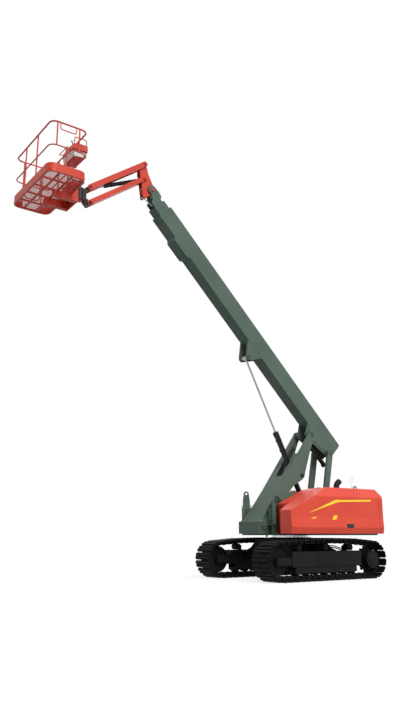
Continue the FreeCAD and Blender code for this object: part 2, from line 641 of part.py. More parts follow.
def make_inner_cover(side):
    """The fixed wall beside the boom and the strip of roof that the hood hinges on."""
    end = "{cover_front}" if side > 0 else "({far_front} - 20)"
    wall = common(prism("XZ", side_outline(side, "0"), *span(side, "{cover_in}", "{cover_in} + 20")),
                  box("-{hood_rear} - 2", end, *span(side, "{cover_in}", "{cover_in} + 20"),
                      "{hood_low}", "{hood_top}"))
    strip = common(prism("XZ", side_outline(side, "0"), *span(side, "{cover_in}", "{cover_split}")),
                   prism("YZ", end_outline(side, "{cover_in}", "0"), "-{hood_rear}", end))
    hollow = prism("XZ", side_outline(side, "{hood_wall}"),
                   *span(side, "{cover_in} + 20", "{cover_split} + 20"))
    knuckles = [drum("X", "{hinge_radius}", f"{x} - 60.3", f"{x} - 0.3",
                     f"{side} * ({HINGE_Y})", HINGE_Z) for x in HINGES[side]]
    leaves = [box(f"{x} - 60.3", f"{x} - 0.3", *span(side, f"{HINGE_Y} - 45", f"{HINGE_Y} - 3"),
                  "{hood_top} - 1", "{hood_top} + 6") for x in HINGES[side]]
    front = common(prism("XZ", side_outline(side, "0"), *span(side, "{cover_in}", "{cover_split}")),
                   box(f"{end} - 20", end, *span(side, "{cover_in}", "{cover_split}"),
                       "{hood_low}", "{hood_top}"))
    solid = fuse([cut(fuse([wall, strip]), hollow), front])
    shell = cut(fuse([solid] + knuckles + leaves),
                box("-{hood_rear} - 50", "{cover_front} + 20",
                    *span(side, "{cover_in} - 1", "{cover_split} + 1"),
                    "{hood_low} - 200", f"{DECK_TOP} + {{seat_gap}}"))
    subpart(shell, NAMES[side] + "_inner_cover", MACHINE)


def make_counterweight():
    profile = [("-{hood_rear} - 5", "{hood_low}"), ("-{tail_x} + 120", "{hood_low}"),
               ("-{tail_x}", "{skirt_z}"), ("-{tail_x} + 60", "{waist_z}"),
               ("-{tail_x} + 60", "{crease_z}"), ("-{tail_x} + 200", "{hood_top}"),
               ("-{hood_rear} - 5", "{hood_top}")]
    slab = prism("XZ", profile, "-{hood_half} - 5", "{hood_half} + 5")
    ends = []
    for side in SIDES:
        ends.append(prism("YZ", end_outline(side, "-1", "0"), "-{tail_x} - 5", "-{hood_rear}"))
    plan = prism("XY", [("-{hood_rear} + 10", "-{hood_half} - 5"), ("-{tail_x} + 130",
                        "-{hood_half} - 5"), ("-{tail_x} - 5", "-{hood_half} + 190"),
                        ("-{tail_x} - 5", "{hood_half} - 190"), ("-{tail_x} + 130",
                        "{hood_half} + 5"), ("-{hood_rear} + 10", "{hood_half} + 5")],
                 "{hood_low} - 5", "{hood_top} + 5")
    block = common(common(slab, fuse(ends)), plan)
    subpart(fuse([block] + both(make_lifting_ring)), "counterweight", MACHINE)


def make_engine():
    subpart(fuse([box("-1400", "-420", "-1040", "-470", f"{DECK_TOP} + {{seat_gap}}", "1640"),
                  box("-1250", "-600", "-960", "-560", "1630", "1760")]), "engine_block", MACHINE)


def make_tank():
    subpart(fuse([box("-520", "380", "470", "1040", f"{DECK_TOP} + {{seat_gap}}", "1440"),
                  drum("Z", "60", "1430", "1500", "-380", "900")]), "tank_block", MACHINE)


def make_exhaust():
    """An upright pipe that bends back over the roof and ends in a slanted mouth."""
    y, x, r = "500", "-1010", "66"
    lift = "{hood_top}"
    pipe = drum("Z", r, f"{lift} + {{seat_gap}}", f"{lift} + 67", x, y)
    elbow = DOC.addObject("Part::Torus", fresh("elbow"))
    elbow.Radius1 = 110
    elbow.Radius2 = 64
    elbow.Angle3 = 55
    elbow.Placement.Rotation = FreeCAD.Rotation(FreeCAD.Vector(1, 0, 0), 90)
    place(elbow, f"{x} - 110", y, f"{lift} + 65")
    mouth = DOC.addObject("Part::Cylinder", fresh("mouth"))
    mouth.Radius = 66
    mouth.Height = 70
    mouth.Placement.Rotation = FreeCAD.Rotation(Y_AXIS_DOWN, 55)
    mouth_x, mouth_z = 110 * math.cos(math.radians(55)), 110 * math.sin(math.radians(55))
    place(mouth, f"{x} - 110 + {mouth_x + 2:.3f}", y, f"{lift} + 65 + {mouth_z - 1.5:.3f}")
    bore = DOC.addObject("Part::Cylinder", fresh("bore"))
    bore.Radius = 58
    bore.Height = 100
    bore.Placement.Rotation = FreeCAD.Rotation(Y_AXIS_DOWN, 55)
    shift = 10
    place(bore, f"{x} - 110 + {mouth_x - shift * math.sin(math.radians(55)):.3f}", y,
          f"{lift} + 65 + {mouth_z + shift * math.cos(math.radians(55)):.3f}")
    subpart(cut(fuse([pipe, elbow, mouth]), bore), "exhaust", MACHINE)


def make_beacon():
    foot = drum("Z", "45", "{hood_top} + {seat_gap}", "{hood_top} + 20", "-1530", "490")
    stem = drum("Z", "14", "{hood_top} + 10", "{hood_top} + 180", "-1530", "490")
    seat = drum("Z", "50", "{hood_top} + 170", "{hood_top} + 195", "-1530", "490")
    lens = drum("Z", "42", "{hood_top} + 190", "{hood_top} + 270", "-1530", "490")
    dome = DOC.addObject("Part::Sphere", fresh("dome"))
    dome.Radius = 42
    place(dome, "-1530", "490", "{hood_top} + 270")
    subpart(fuse([foot, stem, seat, lens, dome]), "beacon", MACHINE)


# ---------------------------------------------------------------- links and lift cylinder
def make_front_link():
    """Two box arms joined by a slotted front plate, a foot tube and its pins."""
    length = "{link_length}"
    outline = [("-40", "-85"), ("900", "-60"), (f"{length}", "-80"), (f"{length} + 20", "80"),
               (f"{length} - 160", "110"), ("2180", "175"), ("1700", "330"), ("1610", "365"),
               ("1520", "350"), ("1250", "230"), ("700", "150"), ("0", "88")]
    parts = []
    for side in SIDES:
        arm = prism("XZ", outline, *span(side, "{arm_in}", "{arm_out}"))
        foot = drum("Y", "95", *span(side, "{arm_in}", "{arm_out}"), "0", "0")
        head = drum("Y", "88", *span(side, "{arm_in}", "{arm_out}"), length, "0")
        boss = drum("Y", "62", *span(side, "{arm_in} - 6", "{arm_out} + 8"), length, "0")
        flange = prism("XZ", [("900", "-58"), ("1950", "-66"), ("1950", "-46"), ("900", "-38")],
                       *span(side, "115", "{arm_in} + 2"))
        web = box("140", "1000", *span(side, "115", "{arm_in} + 2"), "95", "115")
        pin = drum("Y", "{link_pin}", *span(side, "{base_half_w} - 30", "{arm_out} + 20"),
                   length, "0")
        parts += [arm, foot, head, boss, flange, web, pin]
    parts.append(prism("XZ", [("40", "-62"), ("{plate_end}", "-60"), ("{plate_end}", "-40"),
                              ("40", "-42")], "-{arm_in} - 2", "{arm_in} + 2"))
    parts.append(drum("Y", "80", "-{arm_in} - 2", "{arm_in} + 2", "0", "0"))
    parts.append(drum("Y", "{foot_pin}", f"-({CHEEK_OUT}) - 30", f"{CHEEK_OUT} + 30", "0", "0"))
    bore = drum("Y", "{trunnion_pin} + {bore_gap}", "-400", "400", "{trunnion_s}", "{trunnion_n}")
    subpart(cut(fuse(parts), bore), "front_link", LINK)


def make_rear_link():
    """Two upright bars joined by a cross tube; their feet are open eyes."""
    parts = []
    near, far = "{arm_in} - 3", "{arm_out} - 3"
    for side in SIDES:
        y0, y1 = span(side, near, far)
        bar = prism("XZ", [("0", "-{column_half}"), ("{rear_length}", "-{column_half} + 4"),
                           ("{rear_length}", "{column_half} - 4"), ("0", "{column_half}")],
                    y0, y1)
        parts += [bar, drum("Y", "{column_half} + 8", y0, y1, "0", "0"),
                  drum("Y", "{column_half} - 4", y0, y1, "{rear_length}", "0")]
    parts.append(drum("Y", "38", f"-({near}) - 2", f"{near} + 2", "850", "0"))
    tools = [drum("Y", "{rear_pin} + {bore_gap}", "-400", "400", "0", "0"),
             drum("Y", "{rear_pin}", "-400", "400", "{rear_length}", "0")]
    subpart(cut(fuse(parts), fuse(tools)), "rear_link", REAR)


TRUNNION = at(LINK, "{trunnion_s}", "{trunnion_n}")
EYE = at(BASE, "{eye_u}", "{eye_w}")
CYLINDER = TRUNNION + (f"atan2({EYE[1]} - ({TRUNNION[1]}); {EYE[0]} - ({TRUNNION[0]}))",)
CYLINDER_LENGTH = f"hypot({EYE[1]} - ({TRUNNION[1]}); {EYE[0]} - ({TRUNNION[0]}))"


def make_lift_cylinder():
    tube = drum("X", "{barrel_radius}", "-{barrel_down}", "{barrel_up}")
    gland = drum("X", "{barrel_radius} + 8", "{barrel_up} - 90", "{barrel_up}")
    block = box("-90", "90", "-{barrel_radius} - 20", "{barrel_radius} + 20", "-95", "95")
    pins = [drum("Y", "{trunnion_pin}", *span(side, "{barrel_radius}", "{arm_out} + 12"))
            for side in SIDES]
    collars = [drum("Y", "58", *span(side, "{barrel_radius}", "{arm_in} - 4")) for side in SIDES]
    bore = drum("X", "{barrel_radius} - 15", "-{barrel_down} + 30", "{barrel_up} - 90")
    mouth = drum("X", "{rod_radius} + {bore_gap}", "{barrel_up} - 95", "{barrel_up} + 5")
    subpart(cut(fuse([tube, gland, block] + pins + collars), fuse([bore, mouth])),
            "lift_cylinder_barrel", CYLINDER)
    rod = drum("X", "{rod_radius}", "-{rod_length}", "-{eye_radius} + 10")
    piston = drum("X", "{barrel_radius} - 15 - {bore_gap}", "-{rod_length} - 15",
                  "-{rod_length} + 20")
    eye = drum("Y", "{eye_radius}", "-{eye_half}", "{eye_half}")
    tip = at(CYLINDER, CYLINDER_LENGTH, "0")
    subpart(fuse([rod, piston, eye]), "lift_cylinder_rod", tip + (CYLINDER[2],))


# ---------------------------------------------------------------- boom
def section(half_w, half_h, wall, rear, front):
    """A hollow rectangular boom section about the shared middle height."""
    outer = box(rear, front, f"-{half_w}", half_w,
                f"{{boom_mid}} - {half_h}", f"{{boom_mid}} + {half_h}")
    inner = box(f"{rear} - 1", f"{front} + 1", f"-{half_w} + {wall}", f"{half_w} - {wall}",
                f"{{boom_mid}} - {half_h} + {wall}", f"{{boom_mid}} + {half_h} - {wall}")
    return cut(outer, inner)


def collar(half_w, half_h, wall, front, inner_w, inner_h):
    """The frame inside a section's mouth that guides the next section."""
    outer = box(f"{front} - {{collar}}", front, f"-{half_w} + {wall} - 1", f"{half_w} - {wall} + 1",
                f"{{boom_mid}} - {half_h} + {wall} - 1", f"{{boom_mid}} + {half_h} - {wall} + 1")
    inner = box(f"{front} - {{collar}} - 1", f"{front} + 1",
                f"-{inner_w} - {{seat_gap}}", f"{inner_w} + {{seat_gap}}",
                f"{{boom_mid}} - {inner_h} - {{seat_gap}}",
                f"{{boom_mid}} + {inner_h} + {{seat_gap}}")
    return cut(outer, inner)


def make_base_boom():
    low = "{boom_mid} - {base_half_h}"
    top = "{boom_mid} + {base_half_h}"
    parts = [section("{base_half_w}", "{base_half_h}", "{base_wall}", "{base_rear}",
                     "{base_front}"),
             collar("{base_half_w}", "{base_half_h}", "{base_wall}", "{base_front}",
                    "{mid_half_w}", "{mid_half_h}")]
    cheek = [("200", f"{low} + 1"), ("60", "-60"), ("-60", "-98"), ("-300", "-40"),
             ("-640", "30"), ("{rear_u} - 75", "{rear_w} - 20"), ("{base_rear}", "{rear_w} + 50"),
             ("{base_rear}", f"{low} + 1")]
    doubler = [("160", f"{low}"), ("60", f"{low} + 110"), ("-120", f"{top} - 150"),
               ("-330", f"{top} - 105"), ("-560", f"{top} - 70"), ("{base_rear}", f"{top} - 60"),
               ("{base_rear}", f"{low} - 20"), ("-640", f"{low} - 90"), ("-60", f"{low} - 200")]
    for side in SIDES:
        parts.append(prism("XZ", cheek, *span(side, "{base_half_w} - 30", "{base_half_w}")))
        parts.append(prism("XZ", doubler, *span(side, "{base_half_w} - 1", "{base_half_w} + 10")))
        parts.append(drum("Y", "100", *span(side, "{base_half_w} - 30", "{base_half_w} + 10"),
                          "0", "0"))
        parts.append(drum("Y", "70", *span(side, "{base_half_w} - 30", "{arm_in} - 9"), "0", "0"))
        parts.append(drum("Y", "78", *span(side, "{base_half_w} - 30", "{base_half_w} + 10"),
                          "{rear_u}", "{rear_w}"))
        parts.append(drum("Y", "62", *span(side, "{base_half_w} - 1", "{arm_in} - 6"),
                          "{rear_u}", "{rear_w}"))
        parts.append(drum("Y", "{rear_pin}", *span(side, "{base_half_w} - 1", "{arm_out} + 12"),
                          "{rear_u}", "{rear_w}"))
        ear = [("{eye_u} - 250", f"{low} + 1"), ("{eye_u} - 60", "{eye_w} - 45"),
               ("{eye_u} + 60", "{eye_w} - 45"), ("{eye_u} + 290", f"{low} + 1")]
        ears = span(side, "{eye_half} + 6", "{base_half_w}")
        parts.append(prism("XZ", ear, *ears))
        parts.append(drum("Y", "72", *ears, "{eye_u}", "{eye_w}"))
        parts.append(drum("Y", "48", *span(side, "{base_half_w} - 5", "{base_half_w} + 12"),
                          "{eye_u}", "{eye_w}"))
    guard = prism("XZ", [("4930", f"{low} + 1"), ("4990", f"{low} - 58"), ("5440", f"{low} - 58"),
                         ("5500", f"{low} + 1")], "-{base_half_w}", "{base_half_w}")
    ridge = box("4960", "5470", "95", "112", f"{low} - 66", f"{low} - 40")
    parts += [guard, ridge]
    hanger = [box(x, f"{x} + 30", "-60", "60", "10", f"{low} + 2") for x in ("-760", "-330")]
    rail = box("-760", "-300", "-60", "60", "10", "22")
    bore = drum("Y", "{link_pin} + {bore_gap}", "-400", "400", "0", "0")
    subpart(cut(fuse(parts + hanger + [rail]), bore), "base_boom", BASE)


def make_tail_cylinder():
    """The short black cylinder that hangs below the rear of the boom."""
    radius = "52"
    tube = drum("X", radius, "-900", "-170", "0", f"10 - {{seat_gap}} - {radius}")
    cap = drum("X", "60", "-915", "-860", "0", f"10 - {{seat_gap}} - {radius} - 9")
    subpart(fuse([tube, cap]), "tail_cylinder", BASE)


def make_mid_boom():
    subpart(fuse([section("{mid_half_w}", "{mid_half_h}", "{mid_wall}", "{mid_rear}",
                          "{mid_front}"),
                  collar("{mid_half_w}", "{mid_half_h}", "{mid_wall}", "{mid_front}",
                         "{fly_half_w}", "{fly_half_h}")]), "mid_boom", BASE)


def make_fly_boom():
    """The last section with its two round-headed nose plates."""
    low, top = "{boom_mid} - {fly_half_h}", "{boom_mid} + {fly_half_h}"
    parts = [section("{fly_half_w}", "{fly_half_h}", "{fly_wall}", "{fly_rear}", "{fly_front}")]
    plate = [("{mid_front} + 10", low), ("{fly_front} - 10", low),
             ("{nose_u} - 175", "{nose_w} - 150"), ("{nose_u} - 54", "{nose_w} - 88"),
             ("{nose_u} + 70", "{nose_w} - 66"), ("{nose_u} + {nose_radius} - 6", "{nose_w}"),
             ("{nose_u}", "{nose_w} + {nose_radius}"),
             ("{nose_u} - 120", "{nose_w} + {nose_radius} + 12"),
             ("{nose_u} - 235", "{nose_w} + {nose_radius} - 6"), ("{mid_front} + 60", top),
             ("{mid_front} + 10", top)]
    for side in SIDES:
        sides = span(side, "{fly_half_w} - 26", "{fly_half_w}")
        parts.append(prism("XZ", plate, *sides))
        parts.append(drum("Y", "{nose_radius}", *sides, "{nose_u}", "{nose_w}"))
    saddle = box("{level_u} - 60", "{level_u} + 60", "-{fly_half_w} + 4", "{fly_half_w} - 4",
                 f"{top} - 20", f"{top} - 4")
    cheeks = [box("{level_u} - 40", "{level_u} + 40", *span(side, "38", "54"),
                  "{level_w} - 35", f"{top} - 15") for side in SIDES]
    pins = [drum("Y", "14", "-54", "54", "{level_u}", "{level_w}")]
    bore = drum("Y", "{nose_pin} + {bore_gap}", "-400", "400", "{nose_u}", "{nose_w}")
    slot = box("{mid_front} + 3", "{fly_front} + 5", "-{bracket_out} - 5", "{bracket_out} + 5",
               f"{low} - 5", f"{low} + 12")
    subpart(cut(fuse(parts + [saddle] + cheeks + pins), fuse([bore, slot])), "fly_boom", BASE)


# ---------------------------------------------------------------- jib
NOSE = at(BASE, "{nose_u}", "{nose_w}") + ("0",)
LOWER_PIN = at(NOSE, "{jib_x}", "{jib_z}")
LOWER = LOWER_PIN + ("{jib_angle}",)
UPPER = (LOWER_PIN[0], plus(LOWER_PIN[1], "{jib_rise}"), "{jib_angle}")
HEAD = at(LOWER, "{jib_length}", "0") + ("0",)
LEVEL_PIVOT = at(BASE, "{level_u}", "{level_w}")
LEVEL_EYE = at(NOSE, "{level_x}", "{level_z}")


def cylinder_frame(start, end):
    dx, dz = f"{end[0]} - ({start[0]})", f"{end[1]} - ({start[1]})"
    return start[0], start[1], f"atan2({dz}; {dx})", f"hypot({dz}; {dx})"


def make_jib_bracket():
    """The elbow between the boom's nose and the two jib arms: two plates and a front web."""
    upper = "{jib_z} + {jib_rise}"
    outline = [("{level_x} - 36", "{level_z} - 10"), ("{level_x} + 34", "{level_z} - 8"),
               ("{jib_x} + 48", "15"), ("{jib_x} + 62", "{jib_z} - 25"),
               ("{jib_x} + 92", "{jib_z} + 50"), ("{jib_x} + 104", "{jib_z} + 120"),
               ("{jib_x} + 98", f"{upper} - 90"), ("{jib_x} + 62", f"{upper} + 5"),
               ("{jib_x} + 20", f"{upper} + 48"), ("{jib_x} - 32", f"{upper} + 34"),
               ("{jib_x} - 112", "{jib_z} + 130"), ("-55", "85"), ("-72", "10"), ("-45", "-70")]
    parts = []
    for side in SIDES:
        sides = span(side, "{bracket_in}", "{bracket_out}")
        parts.append(prism("XZ", outline, *sides))
        parts.append(drum("Y", "74", *span(side, "{bracket_in}", "{fly_half_w} - 30"), "0", "0"))
        parts.append(drum("Y", "36", *sides, "{level_x}", "{level_z}"))
        parts.append(drum("Y", "22", *span(side, "36", "{bracket_out} + 8"),
                          "{level_x}", "{level_z}"))
        for z in ("{jib_z}", upper):
            parts.append(drum("Y", "46", *span(side, "{bracket_in}", "{jib_in} - 1"),
                              "{jib_x}", z))
            parts.append(drum("Y", "38", *span(side, "{jib_out} + 1", "{jib_out} + 12"),
                              "{jib_x}", z))
    web = [("{level_x} + 20", "{level_z} + 70"), ("{level_x} + 34", "{level_z} + 66"),
           ("{jib_x} + 46", "0"), ("{jib_x} + 32", "0")]
    back = [("{jib_x} - 46", f"{upper} - 30"), ("{jib_x} - 110", "{jib_z} + 130"),
            ("-50", "90"), ("-36", "88"), ("{jib_x} - 96", "{jib_z} + 128"),
            ("{jib_x} - 32", f"{upper} - 36")]
    for points in (web, back):
        parts.append(prism("XZ", points, "-{bracket_in} - 2", "{bracket_in} + 2"))
    parts.append(drum("Y", "{nose_pin}", "-{fly_half_w} - 12", "{fly_half_w} + 12", "0", "0"))
    for z in ("{jib_z}", upper):
        parts.append(drum("Y", "{jib_pin}", "-{jib_out} - 12", "{jib_out} + 12", "{jib_x}", z))
    subpart(fuse(parts), "jib_bracket", NOSE)


def make_jib_arm(label, frame, depth, plate_top, plate_end):
    """A channel of two side bars and one flange, with an eye at each end."""
    length = "{jib_length}"
    parts = []
    for side in SIDES:
        sides = span(side, "{jib_in}", "{jib_out}")
        parts.append(prism("XZ", [("0", f"-{depth} / 2"), (length, f"-{depth} / 2"),
                                  (length, f"{depth} / 2"), ("0", f"{depth} / 2")], *sides))
        parts += [drum("Y", f"{depth} / 2 + 2", *sides, x, "0") for x in ("0", length)]
    z0, z1 = (f"{depth} / 2 - 10", f"{depth} / 2") if plate_top else (
        f"-{depth} / 2", f"-{depth} / 2 + 10")
    parts.append(box("220", plate_end, "-{jib_in} - 2", "{jib_in} + 2", z0, z1))
    bores = [drum("Y", "{jib_pin} + {bore_gap}", "-200", "200", x, "0") for x in ("0", length)]
    subpart(cut(fuse(parts), fuse(bores)), label, frame)


def small_cylinder(stem, start, end, radius, rod_radius, barrel, rod, eye_half, pin):
    """A cylinder with a pinned barrel eye and an open rod eye."""
    x, z, tilt, length = cylinder_frame(start, end)
    eye = drum("Y", f"{radius} - 2", f"-{eye_half}", eye_half)
    tube = drum("X", radius, f"{pin} + 4", barrel)
    gland = drum("X", f"{radius} + 4", f"{barrel} - 45", barrel)
    bore = drum("X", f"{radius} - 9", f"{pin} + 45", f"{barrel} - 45")
    mouth = drum("X", f"{rod_radius} + {{bore_gap}}", f"{barrel} - 50", f"{barrel} + 5")
    hole = drum("Y", f"{pin} + {{bore_gap}}", "-100", "100")
    subpart(cut(fuse([eye, tube, gland]), fuse([bore, mouth, hole])), stem + "_barrel",
            (x, z, tilt))
    shaft = drum("X", rod_radius, f"-{rod}", "-20")
    piston = drum("X", f"{radius} - 9 - {{bore_gap}}", f"-{rod} - 5", f"-{rod} + 25")
    tip = at((x, z, tilt), length, "0")
    end_eye = drum("Y", "32", f"-{eye_half} + 14", f"{eye_half} - 14")
    subpart(fuse([shaft, piston, end_eye]), stem + "_rod", tip + (tilt,))


def make_rotator():
    """The black end bracket of the jib and the drum that turns the platform."""
    rise = "{jib_rise}"
    parts = [drum("Z", "{drum_radius}", "{drum_low}", "{drum_top}", "{drum_x}", "0"),
             box("75", "{drum_x}", "-70", "70", "{drum_low} + 8", "{drum_top} - 8")]
    lower = prism("XZ", [("-20", "-48"), ("60", "-48"), ("110", "0"), ("110", "90"),
                         ("0", "50"), ("-20", "40")], "-{jib_in} + 6", "{jib_in} - 6")
    parts += [lower, drum("Y", "48", "-{jib_in} + 6", "{jib_in} - 6", "0", "0"),
              drum("Y", "{jib_pin}", "-{jib_out} - 12", "{jib_out} + 12", "0", "0")]
    for side in SIDES:
        sides = span(side, "26", "{jib_in} - 6")
        parts.append(prism("XZ", [("0", f"{rise} - 46"), ("100", f"{rise} - 140"),
                                  ("100", f"{rise} - 40"), ("0", f"{rise} + 46")], *sides))
        parts.append(drum("Y", "48", *sides, "0", rise))
        parts.append(drum("Y", "{jib_pin}", *span(side, "26", "{jib_out} + 12"), "0", rise))
    subpart(fuse(parts), "rotator", HEAD)


# ---------------------------------------------------------------- platform
PLATFORM = at(HEAD, "{drum_x}", "0") + ("0",)
BACK, FRONT = "{plat_back}", "{plat_back} + {plat_depth}"
FLOOR = "{floor_low} + {floor_tube}"


def make_support():
    """Jaws above and below the drum, a back plate and two beams under the floor."""
    plate = "18"
    parts = [box("140", "165", "-260", "260", "{floor_low} - 125", "{drum_top} + {seat_gap} + 18")]
    for z0 in ("{drum_top} + {seat_gap}", f"{{drum_low}} - {{seat_gap}} - {plate}"):
        parts.append(box("0", "145", "-62", "62", z0, f"{z0} + {plate}"))
        parts.append(drum("Z", "62", z0, f"{z0} + {plate}"))
    for y in ("-215", "215"):
        parts.append(box("140", f"{BACK} + 380", f"{y} - 50", f"{y} + 50",
                         "{floor_low} - 125", "{floor_low} - {seat_gap}"))
    parts.append(box(f"{BACK} - 25", f"{BACK} - {{seat_gap}}", "-260", "260",
                     "{floor_low} - 20", "{drum_top} + 21"))
    parts.append(box("160", f"{BACK} - 20", "-260", "-235", "{floor_low} - 20",
                     "{drum_top} + 21"))
    parts.append(box("160", f"{BACK} - 20", "235", "260", "{floor_low} - 20",
                     "{drum_top} + 21"))
    subpart(fuse(parts), "platform_support", PLATFORM)


def rounded_ring(x0, x1, half, corner, z0, z1):
    """A block with four upright round corners, for cutting rings out of."""
    parts = [box(f"{x0} + {corner}", f"{x1} - {corner}", f"-({half})", half, z0, z1),
             box(x0, x1, f"-({half}) + {corner}", f"{half} - {corner}", z0, z1)]
    for x in (f"{x0} + {corner}", f"{x1} - {corner}"):
        for side in SIDES:
            parts.append(drum("Z", corner, z0, z1, x, f"{side} * ({half} - {corner})"))
    return fuse(parts)


def make_platform_frame():
    """The tube frame under the floor and the toe board that stands round it."""
    low, tube = "{floor_low}", "{floor_tube}"
    outer = rounded_ring(BACK, FRONT, "{plat_half}", "{corner}", low, f"{low} + {tube}")
    inner = rounded_ring(f"{BACK} + {tube}", f"{FRONT} - {tube}", "{plat_half} - " + tube,
                         "({corner} - " + tube + ")", f"{low} - 1", f"{low} + {tube} + 1")
    parts = [cut(outer, inner)]
    for share in ("-0.6", "-0.2", "0.2", "0.6"):
        y = f"{share} * {{plat_half}}"
        parts.append(box(f"{BACK} + 5", f"{FRONT} - 5", f"{y} - 15", f"{y} + 15",
                         f"{low} + 5", f"{low} + {tube} - 5"))
    for share in ("0.36", "0.68"):
        x = f"{BACK} + {share} * {{plat_depth}}"
        parts.append(box(f"{x} - 15", f"{x} + 15", "-{plat_half} + 5", "{plat_half} - 5",
                         f"{low} + 5", f"{low} + {tube} - 5"))
    toe_top = f"{FLOOR} + {{toe_height}}"
    skin = rounded_ring(BACK, FRONT, "{plat_half}", "{corner}", f"{FLOOR} - 1", toe_top)
    room = rounded_ring(f"{BACK} + {{toe_thick}}", f"{FRONT} - {{toe_thick}}",
                        "{plat_half} - {toe_thick}", "({corner} - {toe_thick})",
                        f"{FLOOR} - 2", f"{toe_top} + 1")
    doorway = box(f"{BACK} + {{gate_from}}", f"{BACK} + {{gate_to}}", "-{plat_half} - 5",
                  "-{plat_half} + 30", FLOOR, f"{toe_top} + 5")
    parts.append(cut(skin, fuse([room, doorway])))
    subpart(fuse(parts), "platform_frame", PLATFORM)


def make_platform_floor():
    gap = "{toe_thick} + {seat_gap}"
    sheet = rounded_ring(f"{BACK} + {gap}", f"{FRONT} - ({gap})", f"({{plat_half}} - ({gap}))",
                         f"({{corner}} - ({gap}))", f"{FLOOR} + 0", f"{FLOOR} + {{mesh_thick}}")
    subpart(sheet, "platform_floor", PLATFORM)


INSET = "({toe_thick} + {rail_radius} + {seat_gap})"


def rail_loop(z, tube, gap_from, gap_to):
    """A rail round the platform with round corners, open at the gateway."""
    x0, x1 = f"{BACK} + {INSET}", f"{FRONT} - {INSET}"
    half, c = f"({{plat_half}} - {INSET})", f"({{corner}} - {INSET})"
    parts = []
    for x in (x0, x1):
        parts.append(drum("Y", tube, f"-{half} + {c}", f"{half} - {c}", x, z))
    parts.append(drum("X", tube, f"{x0} + {c}", f"{x1} - {c}", half, z))
    parts.append(drum("X", tube, f"{x0} + {c}", gap_from, f"-{half}", z))
    parts.append(drum("X", tube, gap_to, f"{x1} - {c}", f"-{half}", z))
    parts.append(bend(c, tube, f"{x1} - {c}", f"{half} - {c}", z, 0))
    parts.append(bend(c, tube, f"{x0} + {c}", f"{half} - {c}", z, 1))
    parts.append(bend(c, tube, f"{x0} + {c}", f"-{half} + {c}", z, 2))
    parts.append(bend(c, tube, f"{x1} - {c}", f"-{half} + {c}", z, 3))
    return parts


def post(x, y, z0, z1, radius="14"):
    return drum("Z", radius, z0, z1, x, y)


def make_rails():
    top, mid = f"{FLOOR} + {{rail_top}}", f"{FLOOR} + {{rail_mid}}"
    low = f"{FLOOR} + {{mesh_thick}} + {{seat_gap}}"
    x0, x1, half = f"{BACK} + {INSET}", f"{FRONT} - {INSET}", f"({{plat_half}} - {INSET})"
    gap_from, gap_to = f"{BACK} + {{gate_from}} - 20", f"{BACK} + {{gate_to}} + 20"
    parts = rail_loop(top, "{rail_radius}", gap_from, gap_to)
    parts += rail_loop(mid, "{mid_radius}", gap_from, gap_to)
    spots = [(x1, "250"), (x1, "-330"), (x0, "-420"), (x0, "60"),
             (gap_from, f"-{half}"), (gap_to, f"-{half}")]
    for x, y in spots:
        parts.append(post(x, y, low, top))
    parts.append(post(f"{BACK} + 430", half, low, mid))
    for x in (f"{BACK} + 190", f"{BACK} + 640"):
        parts.append(post(x, half, mid, top))
    grip, turn = f"{top} - 140", "45"
    for x in (f"{BACK} + 255", f"{BACK} + 580"):
        parts.append(drum("Z", "10", f"{grip} + {turn}", top, x, half))
    parts.append(drum("X", "10", f"{BACK} + 255 + {turn}", f"{BACK} + 580 - {turn}", half, grip))
    parts.append(upright_bend(turn, "10", f"{BACK} + 580 - {turn}", half, f"{grip} + {turn}", 3))
    parts.append(upright_bend(turn, "10", f"{BACK} + 255 + {turn}", half, f"{grip} + {turn}", 2))
    subpart(fuse(parts), "platform_rails", PLATFORM)


def make_gate():
    """An inward gate in the far end: a rounded frame, a mid bar and its hinge knuckles."""
    x0, x1 = f"{BACK} + {{gate_from}} + 13", f"{BACK} + {{gate_to}} - 10"
    y, tube, c = f"(-{{plat_half}} + {INSET})", "13", "90"
    top, low = f"{FLOOR} + {{rail_top}}", f"{FLOOR} + {{toe_height}} + 90"
    parts = [drum("X", tube, x0, x1, y, top),
             drum("X", tube, f"{x0} + {c}", f"{x1} - {c}", y, low),
             drum("X", "10", x0, x1, y, f"{FLOOR} + {{rail_mid}}")]
    for x in (x0, x1):
        parts.append(drum("Z", tube, f"{low} + {c}", f"{top} + 13", x, y))
    parts.append(upright_bend(c, tube, f"{x1} - {c}", y, f"{low} + {c}", 3))
    parts.append(upright_bend(c, tube, f"{x0} + {c}", y, f"{low} + {c}", 2))
    for z in (f"{low} + 120", f"{top} - 120"):
        parts.append(drum("Z", "16 - {seat_gap}", z, f"{z} + 50", x1, y))
    subpart(fuse(parts), "gate", PLATFORM)


